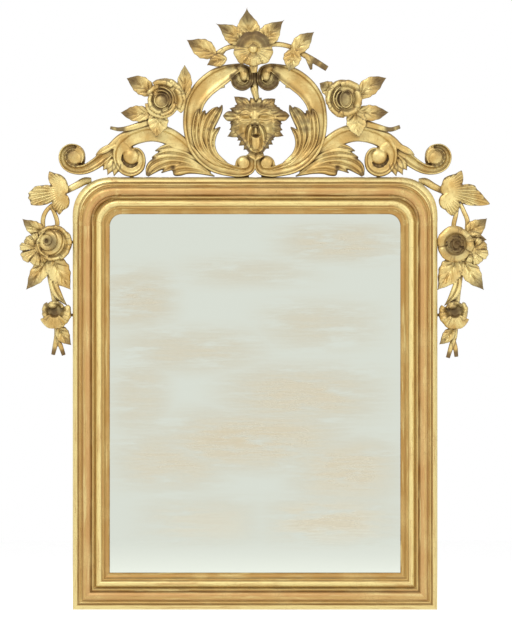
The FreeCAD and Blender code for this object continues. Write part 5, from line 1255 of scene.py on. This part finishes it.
def drop_flower(throat, petals):
    """A cup whose ruffled lips roll back round a throat darkened by painted shade."""
    carving = Carving()
    for bearing, spread, foot, reach, rim, crest, flutes in petals:
        petal(carving, throat, bearing, spread, foot, reach, DROP_BLOOM + 1, DROP_BLOOM + rim, fall=0.6 * rim,
              crest=crest, thick=5.0, flutes=flutes, shoulder=3.0, ruffle=0.5)
    disc(carving, *throat, 9, DROP_BLOOM - 6, DROP_BLOOM + 1)
    ball(carving, throat[0] - 2.4, throat[1] - 5.4, DROP_BLOOM + 2, 5, 3.4, 11)
    # Painted shade in the throat and in the folds above it.
    carving.soil_and_shade(throat[0], throat[1] + 0.6, 6.4, 0.9)
    for across, down, radius in THROAT_SHADE:
        carving.soil_and_shade(throat[0] + across, throat[1] + down, radius, 0.65)
    return carving


for side in SIDES:
    middle, root, outline = DROP_SPRIG[side]
    head = palmate(Carving(), middle, root, outline, DROP_LEAF, SPRIG_RIBS)
    # Its outline is darkened: painted shade, with some dirt.
    head.soil_and_shade_each(outline, 2.0, 0.75)
    head.piece("drop_sprig_" + side, gilding, MEDIUM)
    stems(DROP_STEMS[side], DROP_STEM, DROP_ENDS[side]).piece("drop_stems_" + side, gilding, MEDIUM)
    drop_rose(side).piece("drop_rose_" + side, gilding, FINE)
    drop_bloom(*DROP_BLOOMS[side]).piece("drop_bloom_" + side, gilding, MEDIUM)
    leaves = spray(DROP_LEAVES[side], DROP_LEAF, veins=4, ruffle=0.04, blunt=0.7)
    base, tip, width, bend = DROP_SHEATHS[side]
    heights = (DROP_LEAF + 1, DROP_LEAF + 4, DROP_LEAF + 2)
    leaf(leaves, base, tip, width, heights, bend, veins=0, crown=3.2, thick=6, blunt=0.6, darkness=0.5)
    leaves.piece("drop_leaves_" + side, gilding, MEDIUM)
    drop_flower(*DROP_FLOWERS[side]).piece("drop_flower_" + side, gilding, MEDIUM)

# Grain of wood and streaks of wear: how fine they are along each axis.
UPRIGHT_STREAKS, LEVEL_STREAKS, CORNER_STREAKS = (150.0, 150.0, 9.0), (9.0, 150.0, 150.0), (60.0, 90.0, 60.0)
LEVEL_GRAIN, UPRIGHT_GRAIN = (3.0, 40.0, 40.0), (50.0, 50.0, 4.0)
BOARD_TINT, STICK_TINT, PEG_TINT = (150, 112, 74), (160, 124, 84), (98, 70, 40)
DRESSING = (
    (frame_gilding("upright_gilding", UPRIGHT_STREAKS, from_side), ("left_stile", "right_stile")),
    (frame_gilding("upper_gilding", LEVEL_STREAKS, from_top), ("top_rail",)),
    (frame_gilding("lower_gilding", LEVEL_STREAKS, from_foot), ("bottom_rail",)),
    (frame_gilding("corner_gilding", CORNER_STREAKS, from_round_corner),
     ("left_corner_block", "right_corner_block")),
    (gilding, ("mitre_keys",)),
    (bare_pine("pine_boards", LEVEL_GRAIN, BOARD_TINT),
     ("backboard_upper", "backboard_middle", "backboard_lower")),
    (bare_pine("pine_sticks", UPRIGHT_GRAIN, STICK_TINT),
     ("crest_batten_left", "crest_batten_right", "corner_dowels", "crest_dowels", "glass_blocks")),
    (bare_pine("dark_pegs", UPRIGHT_GRAIN, PEG_TINT), ("drop_pegs",)),
    (old_iron(),
     ("hanger_plate_left", "hanger_plate_right", "hanger_ring_left", "hanger_ring_right", "backboard_brads",
      "hanger_screws", "batten_screws")),
    (old_silvering(), ("mirror_plate",)))
for look, nodes in DRESSING:
    for node in nodes:
        dress(node, look)

# Stage: a pale floor, a white surround, soft lamps and a long lens straight in front.
PICTURE_WIDTH, PICTURE_HEIGHT = 512, 629
# In metres: from the lens to the plane in which the photograph's scale holds, how far that plane lies in
# front of the wall, how far the lens sees, and the floor's reach and level.
CAMERA_DISTANCE, PICTURE_PLANE, FARTHEST = 9.0, 0.035, 60.0
FLOOR_REACH, FLOOR_LEVEL = 6.0, -1.0
SENSOR_HEIGHT = 36.0
WHITE = (1, 1, 1, 1)
FLOOR_GLOW, SURROUND_LIGHT = 0.55, 0.42
# Lamps: name, place, aim, watts and size.
LAMPS = (
    ("key", (-1.6, -3.2, 2.6), (0, 0, -0.2), 75, 1.8),
    ("fill", (2.2, -3.4, 0.8), (0, 0, -0.3), 26, 2.2),
    ("back", (0, 3.0, 1.8), (0, 0, -0.2), 40, 2.2))


def pale_floor():
    """A floor that glows only where it is seen."""
    look = Look("pale_floor")
    look.set(Base_Color=srgb(240, 240, 240), Roughness=0.9)
    bare = look.shader.outputs[0]
    glow = look.node("ShaderNodeEmission", Color=WHITE, Strength=FLOOR_GLOW)
    both = look.node("ShaderNodeAddShader")
    look.put(both.inputs[0], bare)
    look.put(both.inputs[1], glow.outputs[0])
    chosen = look.node("ShaderNodeMixShader")
    look.put(chosen.inputs[0], look.seen())
    look.put(chosen.inputs[1], bare)
    look.put(chosen.inputs[2], both.outputs[0])
    look.put(look.tree.nodes["Material Output"].inputs[0], chosen.outputs[0])
    return look.material


def white_surround():
    """A surround that is white where it is seen, and lights more softly."""
    world = bpy.data.worlds.new("white_surround")
    world.use_nodes = True
    nodes = Nodes(world.node_tree)
    background = nodes.tree.nodes["Background"].inputs
    nodes.put(background["Color"], WHITE)
    nodes.put(background["Strength"], nodes.span(nodes.seen(), 0.0, 1.0, SURROUND_LIGHT, 1.0))
    bpy.context.scene.world = world


def lamp(name, place, aim, watts, size):
    light = bpy.data.lights.new(name, "AREA")
    light.energy = watts
    light.shape = "DISK"
    light.size = size
    thing = bpy.data.objects.new(name, light)
    thing.location = place
    direction = Vector(aim) - Vector(place)
    thing.rotation_euler = direction.to_track_quat("-Z", "Y").to_euler()
    bpy.context.scene.collection.objects.link(thing)


def stage():
    """Floor, surround, lamps and camera."""
    corners = ((-1, -1), (1, -1), (1, 1), (-1, 1))
    corners = [(FLOOR_REACH * across, FLOOR_REACH * deep, FLOOR_LEVEL) for across, deep in corners]
    mesh = bpy.data.meshes.new("floor")
    mesh.from_pydata(corners, [], [(0, 1, 2, 3)])
    floor = bpy.data.objects.new("floor", mesh)
    mesh.materials.append(pale_floor())
    bpy.context.scene.collection.objects.link(floor)
    white_surround()
    for row in LAMPS:
        lamp(*row)
    across, up = spot(PICTURE_WIDTH / 2, PICTURE_HEIGHT / 2) * MM
    camera = bpy.data.cameras.new("camera")
    camera.sensor_fit = "VERTICAL"
    camera.sensor_height = SENSOR_HEIGHT
    camera.lens = SENSOR_HEIGHT * CAMERA_DISTANCE / (PICTURE_HEIGHT * PIXEL * MM)
    camera.clip_end = FARTHEST
    thing = bpy.data.objects.new("camera", camera)
    thing.location = (across, -CAMERA_DISTANCE - PICTURE_PLANE, up)
    thing.rotation_euler = (math.pi / 2, 0, 0)
    bpy.context.scene.collection.objects.link(thing)
    bpy.context.scene.camera = thing
    bpy.context.scene.view_settings.view_transform = "Standard"


stage()
